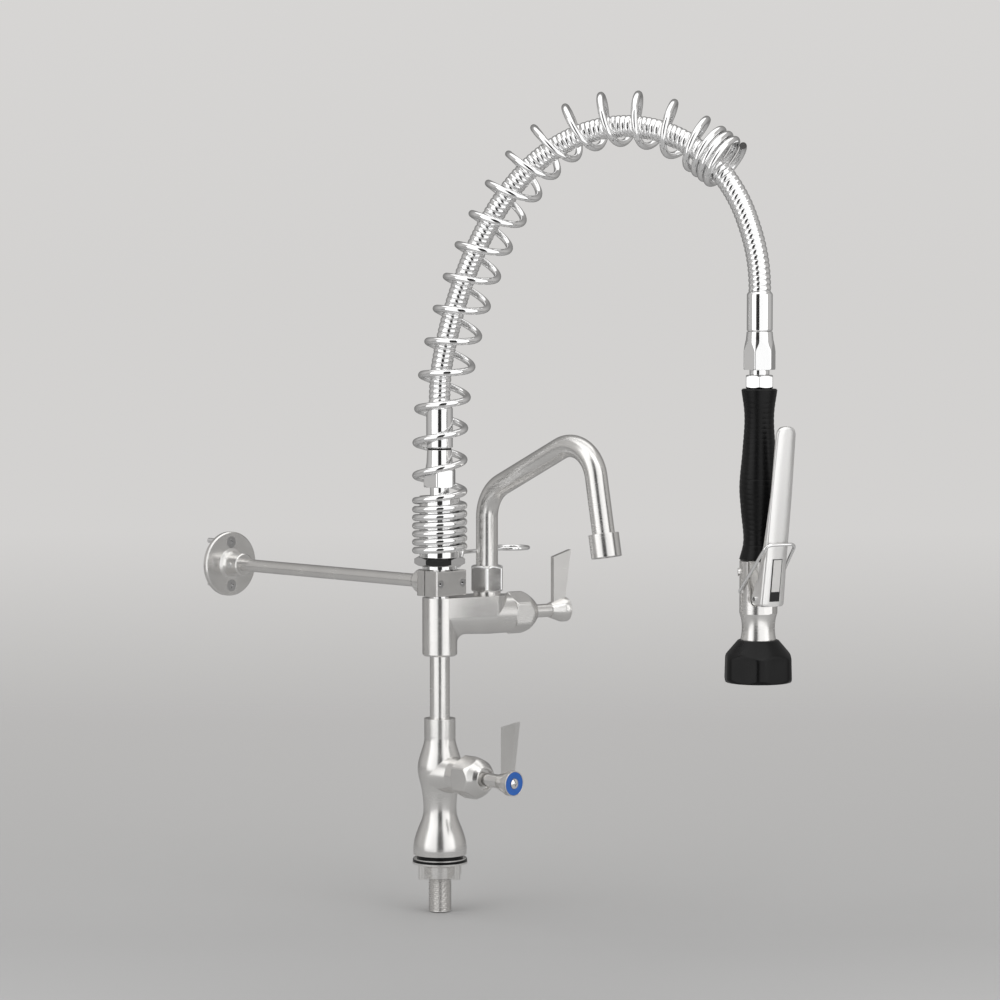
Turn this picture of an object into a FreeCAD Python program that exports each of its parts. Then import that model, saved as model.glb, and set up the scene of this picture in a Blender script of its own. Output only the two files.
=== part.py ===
import FreeCAD, Part
import math
import os

# Pre-rinse faucet. Millimetres, +Z up. Origin on the riser's axis at the underside of the base body.
# -Y is the user's side, +Y the wall. Everything above the base is stacked on the riser's axis.

V = FreeCAD.Vector
UP = V(0, 0, 1)

# ---- clearances ----
RUN = 0.05            # radial running clearance of a shaft in its bore
SIT = 0.03            # radial clearance of a piece that is fixed in its bore
FACE_GAP = 0.12       # axial gap between faces that turn on each other
APART = 0.3           # least gap between loose neighbours

# ---- inlet shank and deck stack ----
THREAD_R = 10.478     # G 1/2 outside radius
SHANK_BELOW = 52.5    # shank length below the base
SHANK_INSIDE = 18.0   # shank length inside the base
SHANK_SPIGOT_R = 10.0
SHANK_BORE_R = 6.5
RELIEF_Z = -21.6      # groove under the nut, where the free thread begins
RELIEF_WIDTH = 1.2
RELIEF_DEPTH = 0.5
GASKET_R = 21.0
GASKET_T = 3.8
GASKET_RECESS = 0.4   # depth of the gasket's seat in the base's underside
WASHER_R = 24.0
WASHER_T = 1.0
CLAMP_GASKET_R = 24.7
CLAMP_GASKET_T = 2.2
NUT_FLANGE_R = 25.0
NUT_FLANGE_T = 4.6
NUT_HUB_R = 15.0
NUT_HEIGHT = 14.4
NUT_WINGS = 4
WING_T = 6.0
WING_REACH = 25.5

# ---- base body: outline as radius and height ----
BASE_FOOT_R = 24.1
BASE_WAIST = [(24.3, 5.0), (22.9, 14.5), (19.3, 25.0), (15.7, 35.0), (15.1, 46.0), (17.2, 62.0), (20.2, 78.0),
              (17.2, 93.0), (14.4, 103.0), (14.2, 108.0)]
BASE_NECK_R = 14.2
BASE_TOP = 124.0
WATERWAY_R = 6.5
PORT_Z = 74.0         # height of the lower valve
PORT_FACE = 31.0      # from the riser's axis to the joint with the bonnet
PORT_R = 15.5
PORT_FLARE_R = 19.5   # where the port's boss runs into the body

# ---- riser ----
RISER_R = 9.0
RISER_WALL = 1.5
RISER_SOCKET = 17.0   # depth of its sockets in base and tee
RISER_GAP = 57.0      # visible length between base and tee
RISER_SEAL_T = 2.5

# ---- tee and its arm ----
TEE_R = 15.8
TEE_HEIGHT = 53.0
ARM_R = 18.0
ARM_ANGLE = -10.0     # degrees from +X
ARM_LENGTH = 73.0     # riser axis to the upper valve's joint
TEE_CHAMFER = 1.6
TEE_FILLET = 10.0     # between the post and the arm's underside
SPOUT_AT = 51.5       # along the arm, from the riser's axis
SPOUT_STEP = 1.2      # from the spout's boss in to the ring under its nut
NIPPLE_SOCKET = 12.0  # depth of the nipple in the tee

# ---- valves (lower and upper alike): lengths from the joint face outwards ----
BONNET_AF = 34.0
BONNET_HEX = 19.0     # length of the hexagon
BONNET_LENGTH = 29.6
BONNET_NOSE_R = 10.6
CARTRIDGE_R = 9.4
CARTRIDGE_DEPTH = 15.0
CARTRIDGE_OUT = 12.0
DISC_R = 7.6
DISC_T = 2.6
STEM_R = 6.15
STEM_SPLINE_R = 4.0
STEM_SPLINE = 12.0
HUB_START = 48.0
HUB_END = 64.5
HUB_SMALL_R = 6.9
HUB_BIG_R = 11.3
INDEX_T = 1.8
INDEX_HOLE_R = 4.7
HANDLE_SCREW_R = 4.4
HANDLE_SCREW_SHANK_R = 1.95
HANDLE_SCREW_LENGTH = 12.0
BLADE_T = 5.0
BLADE_IN = 51.3       # inner edge of the blade
BLADE_OUT_FOOT = 64.2
BLADE_OUT_TOP = 70.6
BLADE_TOP_IN = 49.5
BLADE_TOP_OUT = 55.5

# ---- spout ----
SPOUT_R = 10.0
SPOUT_WALL = 1.2
SPOUT_WATERWAY_R = 5.5
SPOUT_REACH = 152.4   # 6 inch, centre of the swivel to centre of the outlet
SPOUT_SHOULDER = (0.0, 92.5)      # corners of the tube's centreline: reach, height over the arm
SPOUT_CROWN_BACK = 20.5           # how far the crown's corner lies back from the outlet
SPOUT_CROWN_Z = 154.0
SPOUT_TIP_Z = 42.5
SPOUT_SHOULDER_BEND = 34.0        # centreline radii
SPOUT_CROWN_BEND = 32.0
SPOUT_NUT_AF = 28.6
SPOUT_NUT_H = 24.0
SPOUT_NUT_Z = 3.0     # over the arm's top
SPOUT_BOSS_R = 13.6
SPOUT_COLLAR_R = 13.5
SPOUT_COLLAR_H = 21.0
SPOUT_INSERT_H = 12.0
SPOUT_LIP = 0.6       # how far the collar's bore is under the tube's radius
INSERT_HOLES = 8
INSERT_HOLE_R = 1.3
INSERT_HOLES_R = 6.0  # radius of their circle
SPOUT_SOCKET = 8.0    # depth of the spout in the arm
ORING_WIRE_R = 0.9
ORING_FIRST = 2.4     # over the foot of the spout
ORING_STEP = 3.6

# ---- wall bracket ----
CLAMP_BOTTOM = 2.0    # over the tee's top
CLAMP_H = 23.0
CLAMP_W = 37.0
CLAMP_FRONT_Y = -16.0
CLAMP_BACK_Y = 15.0
CLAMP_SPLIT = 1.0
CLAMP_REAR_FILLET = 8.0
CLAMP_FRONT_FILLET = 1.2
CLAMP_TAPER = 5.0     # length of the barrel's taper to the rod
CLAMP_SCREW_SOCKET = 3.0          # across the flats of its key
CLAMP_BARREL_R = 10.8
CLAMP_BARREL_END = 31.0
CLAMP_SCREW_X = 13.6
CLAMP_SCREW_R = 2.4
CLAMP_HEAD_R = 3.6
CLAMP_HEAD_H = 3.2
ROD_R = 6.0
ROD_SOCKET = 10.0
WALL_Y = 300.0
FLANGE_R = 31.0
FLANGE_T = 4.5
FLANGE_HUB_R = 11.0
FLANGE_HUB_L = 24.0
FLANGE_HUB_FILLET = 4.0
WALL_SCREW_PCD = 42.0
WALL_SCREW_R = 2.4
WALL_SCREW_HOLE_R = 3.7
WALL_SCREW_HEAD_R = 5.5
WALL_SCREW_HEAD_H = 2.6
WALL_SCREW_LENGTH = 34.0
SET_SCREW_R = 2.5
SET_SCREW_L = 5.5

# ---- overhead spring, hose and their fittings ----
OVERHEAD_ANGLE = 22.5             # degrees from -Y toward +X
NIPPLE_R = 9.5
NIPPLE_TOP_R = 8.6
NIPPLE_BORE_R = 5.5
SEAT_GAP = 4.0        # over the clamp's top
SEAT_HEX_AF = 40.0
SEAT_HEX_H = 8.0
SEAT_SLEEVE_R = 18.2
SEAT_SLEEVE_L = 63.0  # from the seat's underside to the sleeve's top
COUPLING_GAP = 8.0    # over the sleeve's top
COUPLING_AF = 27.0
COUPLING_HEX_H = 17.0
COUPLING_H = 34.0
COUPLING_TOP_R = 11.2
COUPLING_DEPTH = 15.0
COUPLING_SEAL_T = 1.2
FERRULE_R = 12.0
FERRULE_L = 37.8
HOSE_R = 9.75
SPRING_WIRE_R = 3.15
SPRING_R = 21.85      # to the wire's centre
CLOSED_PITCH = 7.4
CLOSED_TURNS_FOOT = 6.6
CLOSED_TURNS_END = 3.6
OPEN_TURNS = 17
ARCS_PER_TURN = 8
HOOK_WIRE_R = 1.75
HOOK_ANGLE = 8.0      # degrees from +X
HOOK_RISE = 10.0      # of the loop over the seat's underside
HOOK_STEM_FOOT = 29.0
HOOK_REACH = 90.0     # riser axis to the near side of the loop
HOOK_LOOP_R = 16.0
HOOK_RING_T = 2.6
HOOK_RING_R = 15.5

# centrelines in the overhead plane: distance from the riser's axis, and height with the ferrule's top at 407
SPRING_ROUTE = [(0, 271), (0, 345), (1, 400), (9, 453), (25, 507), (47, 560), (78, 612), (118, 649),
                (164, 664), (210, 659), (246, 641), (274, 620)]
HOSE_ROUTE = [(0, 407), (0, 430), (6, 464), (18, 506), (36, 550), (63, 595), (98, 630), (139, 651),
              (182, 657), (224, 648), (259, 626), (284, 595), (298, 560), (304.7, 529), (304.7, 510)]

# ---- spray valve: heights on its own axis, with the ferrule's top at 407 ----
SPRAY_FERRULE_R = 11.2
SPRAY_FERRULE_L = 34.0
SWIVEL_H = 33.0
SWIVEL_AF = 25.0
SWIVEL_TOP_R = 11.4
SWIVEL_NECK_R = 8.6
SWIVEL_NECK_H = 4.5
ADAPTOR_AF = 23.4
ADAPTOR_H = 12.0
GRIP_PROFILE = [(15.7, 426), (12.9, 402), (14.5, 373), (17.0, 343), (15.7, 321), (13.4, 295), (17.0, 277.5)]
GRIP_CORE_R = 8.0
GRIP_CORE_BORE_R = 5.0
BODY_R = 16.5
BODY_BOTTOM = 231.5
BODY_TOP = 277.5
NECK_PROFILE = [(16.3, 231.0), (14.4, 221.0), (15.4, 209.0)]
NECK_BOTTOM = 203.0
BUMPER_TOP_R = 17.5
BUMPER_TOP_Z = 208.0
BUMPER_SHOULDER_R = 31.2
BUMPER_SHOULDER_Z = 192.0
BUMPER_AF = 57.4      # across its flats at the foot
BUMPER_R = 31.6       # at its rounded corners
BUMPER_EDGE = 9.0     # radius of those corners
BUMPER_BOTTOM_Z = 171.0
BUMPER_CHAMFER = 3.0
BUMPER_SIDES = 6
BUMPER_MOUTH_R = 21.0
PLATE_T = 3.0
PLATE_Z = 178.0
PLATE_HOLES = 12
PLATE_HOLE_R = 1.1
PLATE_HOLE_PCD = 26.0
LEVER_ANGLE = 16.0    # degrees from -Y toward -X, the way the lever faces
PIVOT_A = 13.5        # from the spray valve's axis, toward the lever
PIVOT_Z = 245.0
PIVOT_PIN_R = 2.0
PIVOT_PIN_PROUD = 0.9 # each end beyond the lever's side
LEVER_FOOT_A = 23.0
LEVER_FOOT_Z = 238.5
LEVER_TOP_A = 44.0
LEVER_TOP_Z = 398.0
LEVER_FOOT_HALF = 12.4
LEVER_TOP_HALF = 9.6
LEVER_WEB = 1.8
LEVER_WALL = 1.9
EAR_R = 6.6
PLUNGER_Z = 262.5
PLUNGER_R = 3.0
PLUNGER_IN = 4.0      # how far its inner end lies from the axis
PLUNGER_HEAD_R = 4.6
PLUNGER_HEAD_T = 2.0
PLUNGER_REACH = 22.4
PLAQUE_T = 0.6
PLAQUE_W = 9.6
PLAQUE_Z0 = 243.0
PLAQUE_Z1 = 280.0
BAIL_A = -2.2
BAIL_Z = 250.0
BAIL_WIRE_R = 1.4
BAIL_HALF = 18.9      # from the axis to the wire's centre, at the hinge
BAIL_TIP_HALF = 15.2
BAIL_TIP_BEND = 6.0
BAIL_ROOT_BEND = 2.0
BAIL_REACH = 56.0
BAIL_LEAN = 40.0      # degrees from straight up
BAIL_PIN = 4.6        # how deep its ends sit in the body
SIDE_SCREW_Z = 267.0
SIDE_SCREW_R = 3.4
SIDE_SCREW_ANGLE = -118.0         # degrees from the way the lever faces
SIDE_SCREW_PROUD = 1.4

# ---- sizes worked out from the values above ----
TEE_Z = BASE_TOP + RISER_GAP
TEE_TOP = TEE_Z + TEE_HEIGHT
ARM_Z = TEE_TOP - ARM_R
CLAMP_Z = TEE_TOP + CLAMP_BOTTOM
CLAMP_TOP = CLAMP_Z + CLAMP_H
ROD_Z = CLAMP_Z + CLAMP_H / 2
SEAT_Z = CLAMP_TOP + SEAT_GAP
HOOK_Z = SEAT_Z + HOOK_RISE
SEAT_SLEEVE_TOP = SEAT_Z + SEAT_SLEEVE_L
COUPLING_Z = SEAT_SLEEVE_TOP + COUPLING_GAP
COUPLING_TOP_Z = COUPLING_Z + COUPLING_H
FERRULE_TOP = COUPLING_TOP_Z + COUPLING_SEAL_T + FERRULE_L
LIFT = FERRULE_TOP - HOSE_ROUTE[0][1]     # how far the routes and the spray valve are carried up
PIVOT_PIN_HALF = LEVER_FOOT_HALF + PIVOT_PIN_PROUD
LEVER_FRONT_Z = LEVER_FOOT_Z - 8
ARM = V(math.cos(math.radians(ARM_ANGLE)), math.sin(math.radians(ARM_ANGLE)), 0)
OVERHEAD = V(math.sin(math.radians(OVERHEAD_ANGLE)), -math.cos(math.radians(OVERHEAD_ANGLE)), 0)
SPRAY_PLACE = OVERHEAD * HOSE_ROUTE[-1][0] + UP * LIFT
SPRAY_TOP = HOSE_ROUTE[-1][1]
LEVER_WAY = V(-math.sin(math.radians(LEVER_ANGLE)), -math.cos(math.radians(LEVER_ANGLE)), 0)


# ---- helpers ----
def cylinder(radius, low, high, at=V(0, 0, 0)):
    return Part.makeCylinder(radius, high - low, V(at.x, at.y, low), UP)


def tube(outer, inner, low, high, at=V(0, 0, 0)):
    return cylinder(outer, low, high, at).cut(cylinder(inner, low - 1, high + 1, at))


def rod_along(radius, start, end):
    return Part.makeCylinder(radius, (end - start).Length, start, end - start)


def ring(major, wire_radius, height):
    return Part.makeTorus(major, wire_radius, V(0, 0, height), UP)


def hexagon(across_flats, low, high, turned=0.0, sides=6):
    corner = across_flats / 2 / math.cos(math.pi / sides)
    points = []
    for k in range(sides + 1):
        a = math.radians(turned) + 2 * math.pi * k / sides
        points.append(V(corner * math.cos(a), corner * math.sin(a), low))
    return Part.Face(Part.makePolygon(points)).extrude(V(0, 0, high - low))


def chamfered_hexagon(across_flats, low, high, cut, turned=0.0):
    """A hexagon whose corners are turned off at both ends by cones."""
    corner = across_flats / math.sqrt(3)
    flat = across_flats / 2
    slope = (corner - flat) + cut
    outline = [(0, low), (flat - cut, low), (flat - cut + slope, low + slope * 0.55),
               (flat - cut + slope, high - slope * 0.55), (flat - cut, high), (0, high)]
    return hexagon(across_flats, low, high, turned).common(revolved(outline))


def revolved(outline):
    """A closed outline of (radius, height) corners turned about Z."""
    points = [V(r, 0, z) for r, z in outline]
    points.append(points[0])
    return Part.Face(Part.makePolygon(points)).revolve(V(0, 0, 0), UP, 360)


def revolved_curve(curve_points, before, after):
    """Like revolved, with a smooth curve through curve_points between the straight stretches."""
    curve = Part.BSplineCurve()
    curve.interpolate([V(r, 0, z) for r, z in curve_points])
    edges = [curve.toShape()]
    corners = [curve_points[-1]] + after + before + [curve_points[0]]
    for a, b in zip(corners, corners[1:]):
        edges.append(Part.LineSegment(V(a[0], 0, a[1]), V(b[0], 0, b[1])).toShape())
    return Part.Face(Part.Wire(edges)).revolve(V(0, 0, 0), UP, 360)


def placed(shape, origin, z_way, x_way):
    """shape moved so that its own Z points along z_way and its X along x_way, from origin."""
    z = V(z_way).normalize()
    x = V(x_way).normalize()
    y = z.cross(x)
    m = FreeCAD.Matrix(x.x, y.x, z.x, origin.x, x.y, y.y, z.y, origin.y, x.z, y.z, z.z, origin.z, 0, 0, 0, 1)
    moved = shape.copy()
    moved.transformShape(m)
    return moved


def tangent_path(points):
    """Straight runs joined by tangent arcs, as large as the runs allow. Gives the wire and the radii."""
    edges = []
    radii = []
    here = points[0]
    for k in range(1, len(points) - 1):
        before = points[k] - points[k - 1]
        after = points[k + 1] - points[k]
        turn = before.getAngle(after)
        back = 0.45 * min(before.Length, after.Length)
        radius = back / math.tan(turn / 2)
        start = points[k] - V(before).normalize() * back
        end = points[k] + V(after).normalize() * back
        inward = V(after).normalize() - V(before).normalize()
        middle = points[k] + inward.normalize() * (radius / math.cos(turn / 2) - radius)
        edges.append(Part.LineSegment(here, start).toShape())
        edges.append(Part.Arc(start, middle, end).toShape())
        radii.append(radius)
        here = end
    edges.append(Part.LineSegment(here, points[-1]).toShape())
    return Part.Wire(edges), radii


def filleted_path(points, radii):
    """Straight runs joined by arcs of the given radii."""
    edges = []
    here = points[0]
    for k in range(1, len(points) - 1):
        before = V(points[k] - points[k - 1]).normalize()
        after = V(points[k + 1] - points[k]).normalize()
        turn = before.getAngle(after)
        back = radii[k - 1] * math.tan(turn / 2)
        start = points[k] - before * back
        end = points[k] + after * back
        depth = radii[k - 1] / math.cos(turn / 2) - radii[k - 1]
        middle = points[k] + V(after - before).normalize() * depth
        edges.append(Part.LineSegment(here, start).toShape())
        edges.append(Part.Arc(start, middle, end).toShape())
        here = end
    edges.append(Part.LineSegment(here, points[-1]).toShape())
    return Part.Wire(edges)


def swept(path, radius):
    edge = path.Edges[0]
    start = edge.valueAt(edge.FirstParameter)
    way = edge.tangentAt(edge.FirstParameter)
    section = Part.Wire([Part.Circle(start, way, radius).toShape()])
    return path.makePipeShell([section], True, False)


def overhead_point(reach, height):
    return OVERHEAD * reach + V(0, 0, height + LIFT)


def save(name, shape):
    solids = shape.Solids
    kept = solids[0] if len(solids) == 1 else Part.Compound(solids)
    if not kept.isValid():
        print("NOT VALID", name)
    print(f"{name:22s} solids {len(solids)}  volume {kept.Volume:10.1f}")
    kept.exportStep(f"parts/{name}.step")


# ---- inlet and deck stack ----
def inlet_shank():
    body = cylinder(THREAD_R, -SHANK_BELOW, 0)
    body = body.fuse(cylinder(SHANK_SPIGOT_R, -1, SHANK_INSIDE))
    body = body.cut(tube(THREAD_R + 1, THREAD_R - RELIEF_DEPTH, RELIEF_Z - RELIEF_WIDTH, RELIEF_Z))
    return body.cut(cylinder(SHANK_BORE_R, -SHANK_BELOW - 1, SHANK_INSIDE + 1)).removeSplitter()


def deck_gasket():
    return tube(GASKET_R, THREAD_R + SIT, GASKET_RECESS - GASKET_T, GASKET_RECESS)


def deck_washer():
    top = GASKET_RECESS - GASKET_T
    return tube(WASHER_R, THREAD_R + SIT, top - WASHER_T, top)


def clamp_gasket():
    top = GASKET_RECESS - GASKET_T - WASHER_T
    return tube(CLAMP_GASKET_R, THREAD_R + SIT, top - CLAMP_GASKET_T, top)


def wing_nut():
    top = GASKET_RECESS - GASKET_T - WASHER_T - CLAMP_GASKET_T
    bottom = top - NUT_HEIGHT
    rim = NUT_FLANGE_T * 0.35
    body = revolved([(0, top), (NUT_FLANGE_R, top), (NUT_FLANGE_R, top - rim),
                     (NUT_HUB_R, top - NUT_FLANGE_T),
                     (NUT_HUB_R, bottom), (0, bottom)])
    for k in range(NUT_WINGS):
        wing = Part.makeBox(WING_REACH - WING_T / 2, WING_T, NUT_HEIGHT - rim, V(0, -WING_T / 2, bottom))
        wing = wing.fuse(cylinder(WING_T / 2, bottom, top - rim, V(WING_REACH - WING_T / 2, 0, 0)))
        wing.rotate(V(0, 0, 0), UP, 360 * k / NUT_WINGS)
        body = body.fuse(wing)
    return body.cut(cylinder(THREAD_R + SIT, bottom - 1, top + 1)).removeSplitter()


def base_body():
    body = revolved_curve(BASE_WAIST, [(0, 0), (BASE_FOOT_R, 0)], [(BASE_NECK_R, BASE_TOP), (0, BASE_TOP)])
    boss = revolved_curve([(PORT_FLARE_R, 4), (17.4, 14), (PORT_R, 22)], [(0, 4)],
                          [(PORT_R, PORT_FACE), (0, PORT_FACE)])
    body = body.fuse(placed(boss, V(0, 0, PORT_Z), V(0, -1, 0), UP))
    body = body.cut(cylinder(GASKET_R + APART, -1, GASKET_RECESS))
    body = body.cut(cylinder(SHANK_SPIGOT_R + SIT, -1, SHANK_INSIDE + 0.2))
    body = body.cut(cylinder(WATERWAY_R, 0, BASE_TOP))
    body = body.cut(cylinder(RISER_R + SIT, BASE_TOP - RISER_SOCKET, BASE_TOP + 1))
    port = rod_along(CARTRIDGE_R + SIT, V(0, -PORT_FACE - 1, PORT_Z),
                     V(0, CARTRIDGE_DEPTH - PORT_FACE, PORT_Z))
    body = body.cut(port)
    return body.cut(rod_along(DISC_R / 2, V(0, -PORT_FACE, PORT_Z), V(0, 0, PORT_Z)))


def riser_tube():
    low = BASE_TOP - RISER_SOCKET + RISER_SEAL_T
    return tube(RISER_R, RISER_R - RISER_WALL, low, TEE_Z + RISER_SOCKET)


def riser_seal():
    low = BASE_TOP - RISER_SOCKET
    return tube(RISER_R, RISER_R - RISER_WALL, low, low + RISER_SEAL_T)


# ---- tee ----
def tee_body():
    """A post round the riser and an arm: round below, flat on top, widening from the post to the valve."""
    edge = TEE_CHAMFER
    body = revolved([(0, TEE_Z), (TEE_R - edge, TEE_Z), (TEE_R, TEE_Z + edge),
                     (TEE_R, TEE_TOP), (0, TEE_TOP)])
    root = V(0, 0, ARM_Z)
    spout_at = ARM * SPOUT_AT
    body = body.fuse(Part.makeCone(TEE_R, ARM_R, SPOUT_AT, root, ARM))
    body = body.fuse(rod_along(ARM_R, root + spout_at, root + ARM * ARM_LENGTH))
    corners = [V(0, -TEE_R, ARM_Z), V(SPOUT_AT, -ARM_R, ARM_Z), V(SPOUT_AT, ARM_R, ARM_Z), V(0, TEE_R, ARM_Z)]
    deck = Part.Face(Part.makePolygon(corners + corners[:1])).extrude(V(0, 0, TEE_TOP - ARM_Z))
    deck.rotate(V(0, 0, 0), UP, ARM_ANGLE)
    body = body.fuse(deck).fuse(cylinder(ARM_R, ARM_Z, TEE_TOP, spout_at)).removeSplitter()
    low = [e for e in body.Edges if TEE_Z + edge < e.CenterOfMass.z < ARM_Z and e.BoundBox.XLength > 1]
    inner = [e for e in low if edge < e.CenterOfMass.dot(ARM) < SPOUT_AT / 2]
    body = body.makeFillet(TEE_FILLET, inner)
    body = body.fuse(cylinder(SPOUT_BOSS_R - SPOUT_STEP, TEE_TOP - 1, TEE_TOP + SPOUT_NUT_Z - SIT, spout_at))
    body = body.cut(cylinder(RISER_R + SIT, TEE_Z - 1, TEE_Z + RISER_SOCKET))
    body = body.cut(cylinder(WATERWAY_R, TEE_Z, TEE_TOP - NIPPLE_SOCKET))
    body = body.cut(cylinder(NIPPLE_R + SIT, TEE_TOP - NIPPLE_SOCKET, TEE_TOP + 1))
    body = body.cut(rod_along(WATERWAY_R, root, root + ARM * ARM_LENGTH))
    seat = root + ARM * (ARM_LENGTH - CARTRIDGE_DEPTH)
    body = body.cut(rod_along(CARTRIDGE_R + SIT, seat, root + ARM * (ARM_LENGTH + 1)))
    body = body.cut(cylinder(SPOUT_R + RUN, TEE_TOP - SPOUT_SOCKET, TEE_TOP + SPOUT_NUT_Z + 1, spout_at))
    return body.cut(cylinder(SPOUT_WATERWAY_R, ARM_Z, TEE_TOP, spout_at))


# ---- valves, built along +Z from the joint face; local +X is the way the blade stands ----
def bonnet():
    corner = BONNET_AF / math.sqrt(3)
    outline = [(0, 0), (BONNET_AF / 2 - 0.4, 0), (corner, 2.2), (corner, BONNET_HEX - 2.4),
               (corner - 2.6, BONNET_HEX + 2.2), (BONNET_NOSE_R + 2.6, BONNET_LENGTH - 3.2),
               (BONNET_NOSE_R, BONNET_LENGTH), (0, BONNET_LENGTH)]
    body = hexagon(BONNET_AF, 0, BONNET_LENGTH, 0).common(revolved(outline))
    body = body.cut(cylinder(CARTRIDGE_R + SIT, -1, CARTRIDGE_OUT + 0.2))
    return body.cut(cylinder(STEM_R + RUN, 0, BONNET_LENGTH + 1))


def cartridge():
    body = tube(CARTRIDGE_R, DISC_R + RUN, -CARTRIDGE_DEPTH, 0)
    body = body.fuse(tube(CARTRIDGE_R, STEM_R + RUN, 0, CARTRIDGE_OUT))
    return body.removeSplitter()


def ceramic_disc(top):
    body = cylinder(DISC_R, top - DISC_T, top)
    return body.cut(cylinder(1.6, top - DISC_T - 1, top + 1, V(3.6, 0, 0)))


def seat_disc():
    return ceramic_disc(-CARTRIDGE_DEPTH + 1.0 + DISC_T)


def rotor_disc():
    return ceramic_disc(-CARTRIDGE_DEPTH + 1.0 + 2 * DISC_T + FACE_GAP)


def valve_stem():
    low = -CARTRIDGE_DEPTH + 1.0 + 2 * DISC_T + FACE_GAP
    body = cylinder(DISC_R, low, -FACE_GAP)
    body = body.fuse(cylinder(STEM_R, -1, HUB_START))
    return body.fuse(cylinder(STEM_SPLINE_R, HUB_START - 1, HUB_START + STEM_SPLINE)).removeSplitter()


def handle():
    hub = revolved([(0, HUB_START), (HUB_SMALL_R, HUB_START), (HUB_BIG_R, HUB_END - 4), (HUB_BIG_R, HUB_END),
                    (0, HUB_END)])
    corners = [(4, BLADE_IN), (BLADE_TOP_IN, BLADE_IN), (BLADE_TOP_OUT, BLADE_OUT_TOP),
               (HUB_BIG_R, BLADE_OUT_FOOT), (4, HUB_END - 1)]
    points = [V(x, -BLADE_T / 2, z) for x, z in corners]
    points.append(points[0])
    blade = Part.Face(Part.makePolygon(points)).extrude(V(0, BLADE_T, 0))
    body = hub.fuse(blade)
    body = body.cut(cylinder(STEM_SPLINE_R + SIT, HUB_START - 1, HUB_START + STEM_SPLINE + 0.2))
    return body.cut(cylinder(HANDLE_SCREW_SHANK_R + SIT, HUB_START, HUB_END + 1)).removeSplitter()


def index_ring():
    return tube(HUB_BIG_R, INDEX_HOLE_R, HUB_END, HUB_END + INDEX_T)


def handle_screw():
    body = cylinder(HANDLE_SCREW_R, HUB_END, HUB_END + INDEX_T + 0.3)
    low = max(HUB_END - HANDLE_SCREW_LENGTH, HUB_START + STEM_SPLINE + APART)
    body = body.fuse(cylinder(HANDLE_SCREW_SHANK_R, low, HUB_END + 0.1))
    for turn in (0, 90):
        slot = Part.makeBox(4.4, 1.1, 1.2, V(-2.2, -0.55, HUB_END + INDEX_T - 0.7))
        slot.rotate(V(0, 0, 0), UP, turn)
        body = body.cut(slot)
    return body.removeSplitter()


VALVE_PIECES = {"bonnet": bonnet, "cartridge": cartridge, "seat_disc": seat_disc, "rotor_disc": rotor_disc,
                "stem": valve_stem, "handle": handle, "index_ring": index_ring, "handle_screw": handle_screw}


def save_valve(prefix, origin, way):
    for name, make in VALVE_PIECES.items():
        save(f"{prefix}_{name}", placed(make(), origin, way, UP))


# ---- spout, built at the riser's axis pointing to -Y, then moved out along the arm ----
def spout_path():
    low = TEE_TOP - SPOUT_SOCKET + FACE_GAP
    crown = -(SPOUT_REACH - SPOUT_CROWN_BACK)
    return filleted_path([V(0, 0, low), V(0, -SPOUT_SHOULDER[0], TEE_TOP + SPOUT_SHOULDER[1]),
                          V(0, crown, TEE_TOP + SPOUT_CROWN_Z), V(0, -SPOUT_REACH, TEE_TOP + SPOUT_TIP_Z)],
                         [SPOUT_SHOULDER_BEND, SPOUT_CROWN_BEND])


def spout_tip():
    """The outlet's centre and the way the water leaves."""
    crown = V(0, -(SPOUT_REACH - SPOUT_CROWN_BACK), TEE_TOP + SPOUT_CROWN_Z)
    tip = V(0, -SPOUT_REACH, TEE_TOP + SPOUT_TIP_Z)
    return tip, V(tip - crown).normalize()


def spout_tube():
    path = spout_path()
    body = swept(path, SPOUT_R).cut(swept(path, SPOUT_R - SPOUT_WALL))
    tip, way = spout_tip()
    body = body.cut(rod_along(SPOUT_R + 2, tip - way * (SPOUT_INSERT_H - 6), tip + way))
    low = TEE_TOP - SPOUT_SOCKET
    for height in (low + ORING_FIRST, low + ORING_FIRST + ORING_STEP):
        body = body.cut(ring(SPOUT_R - 0.1, ORING_WIRE_R, height))
    return body


def spout_orings():
    low = TEE_TOP - SPOUT_SOCKET
    rings = []
    for height in (low + ORING_FIRST, low + ORING_FIRST + ORING_STEP):
        seal = ring(SPOUT_R - 0.1, ORING_WIRE_R - 0.02, height)
        rings.append(seal.common(cylinder(SPOUT_R + RUN / 2, height - 2, height + 2)))
    return Part.Compound(rings)


def spout_nut():
    low = TEE_TOP + SPOUT_NUT_Z
    body = chamfered_hexagon(SPOUT_NUT_AF, low, low + SPOUT_NUT_H, 0.6, 8.0)
    return body.cut(cylinder(SPOUT_R + RUN, low - 1, low + SPOUT_NUT_H + 1))


def spout_collar():
    tip, way = spout_tip()
    body = rod_along(SPOUT_COLLAR_R, tip - way * SPOUT_COLLAR_H, tip)
    tube_end = tip - way * (SPOUT_INSERT_H - 6)
    body = body.cut(rod_along(SPOUT_R + SIT, tip - way * (SPOUT_COLLAR_H + 1), tube_end))
    return body.cut(rod_along(SPOUT_R - SPOUT_LIP, tip - way * (SPOUT_COLLAR_H + 1), tip + way))


def spout_insert():
    tip, way = spout_tip()
    body = rod_along(SPOUT_R - SPOUT_LIP - SIT, tip - way * (SPOUT_INSERT_H - 6.4), tip - way * 1.0)
    across = V(1, 0, 0)
    side = way.cross(across).normalize()
    for k in range(INSERT_HOLES):
        a = 2 * math.pi * k / INSERT_HOLES
        spoke = across * (INSERT_HOLES_R * math.cos(a)) + side * (INSERT_HOLES_R * math.sin(a))
        body = body.cut(rod_along(INSERT_HOLE_R, tip - way * 7 + spoke, tip + spoke))
    return body


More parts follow.
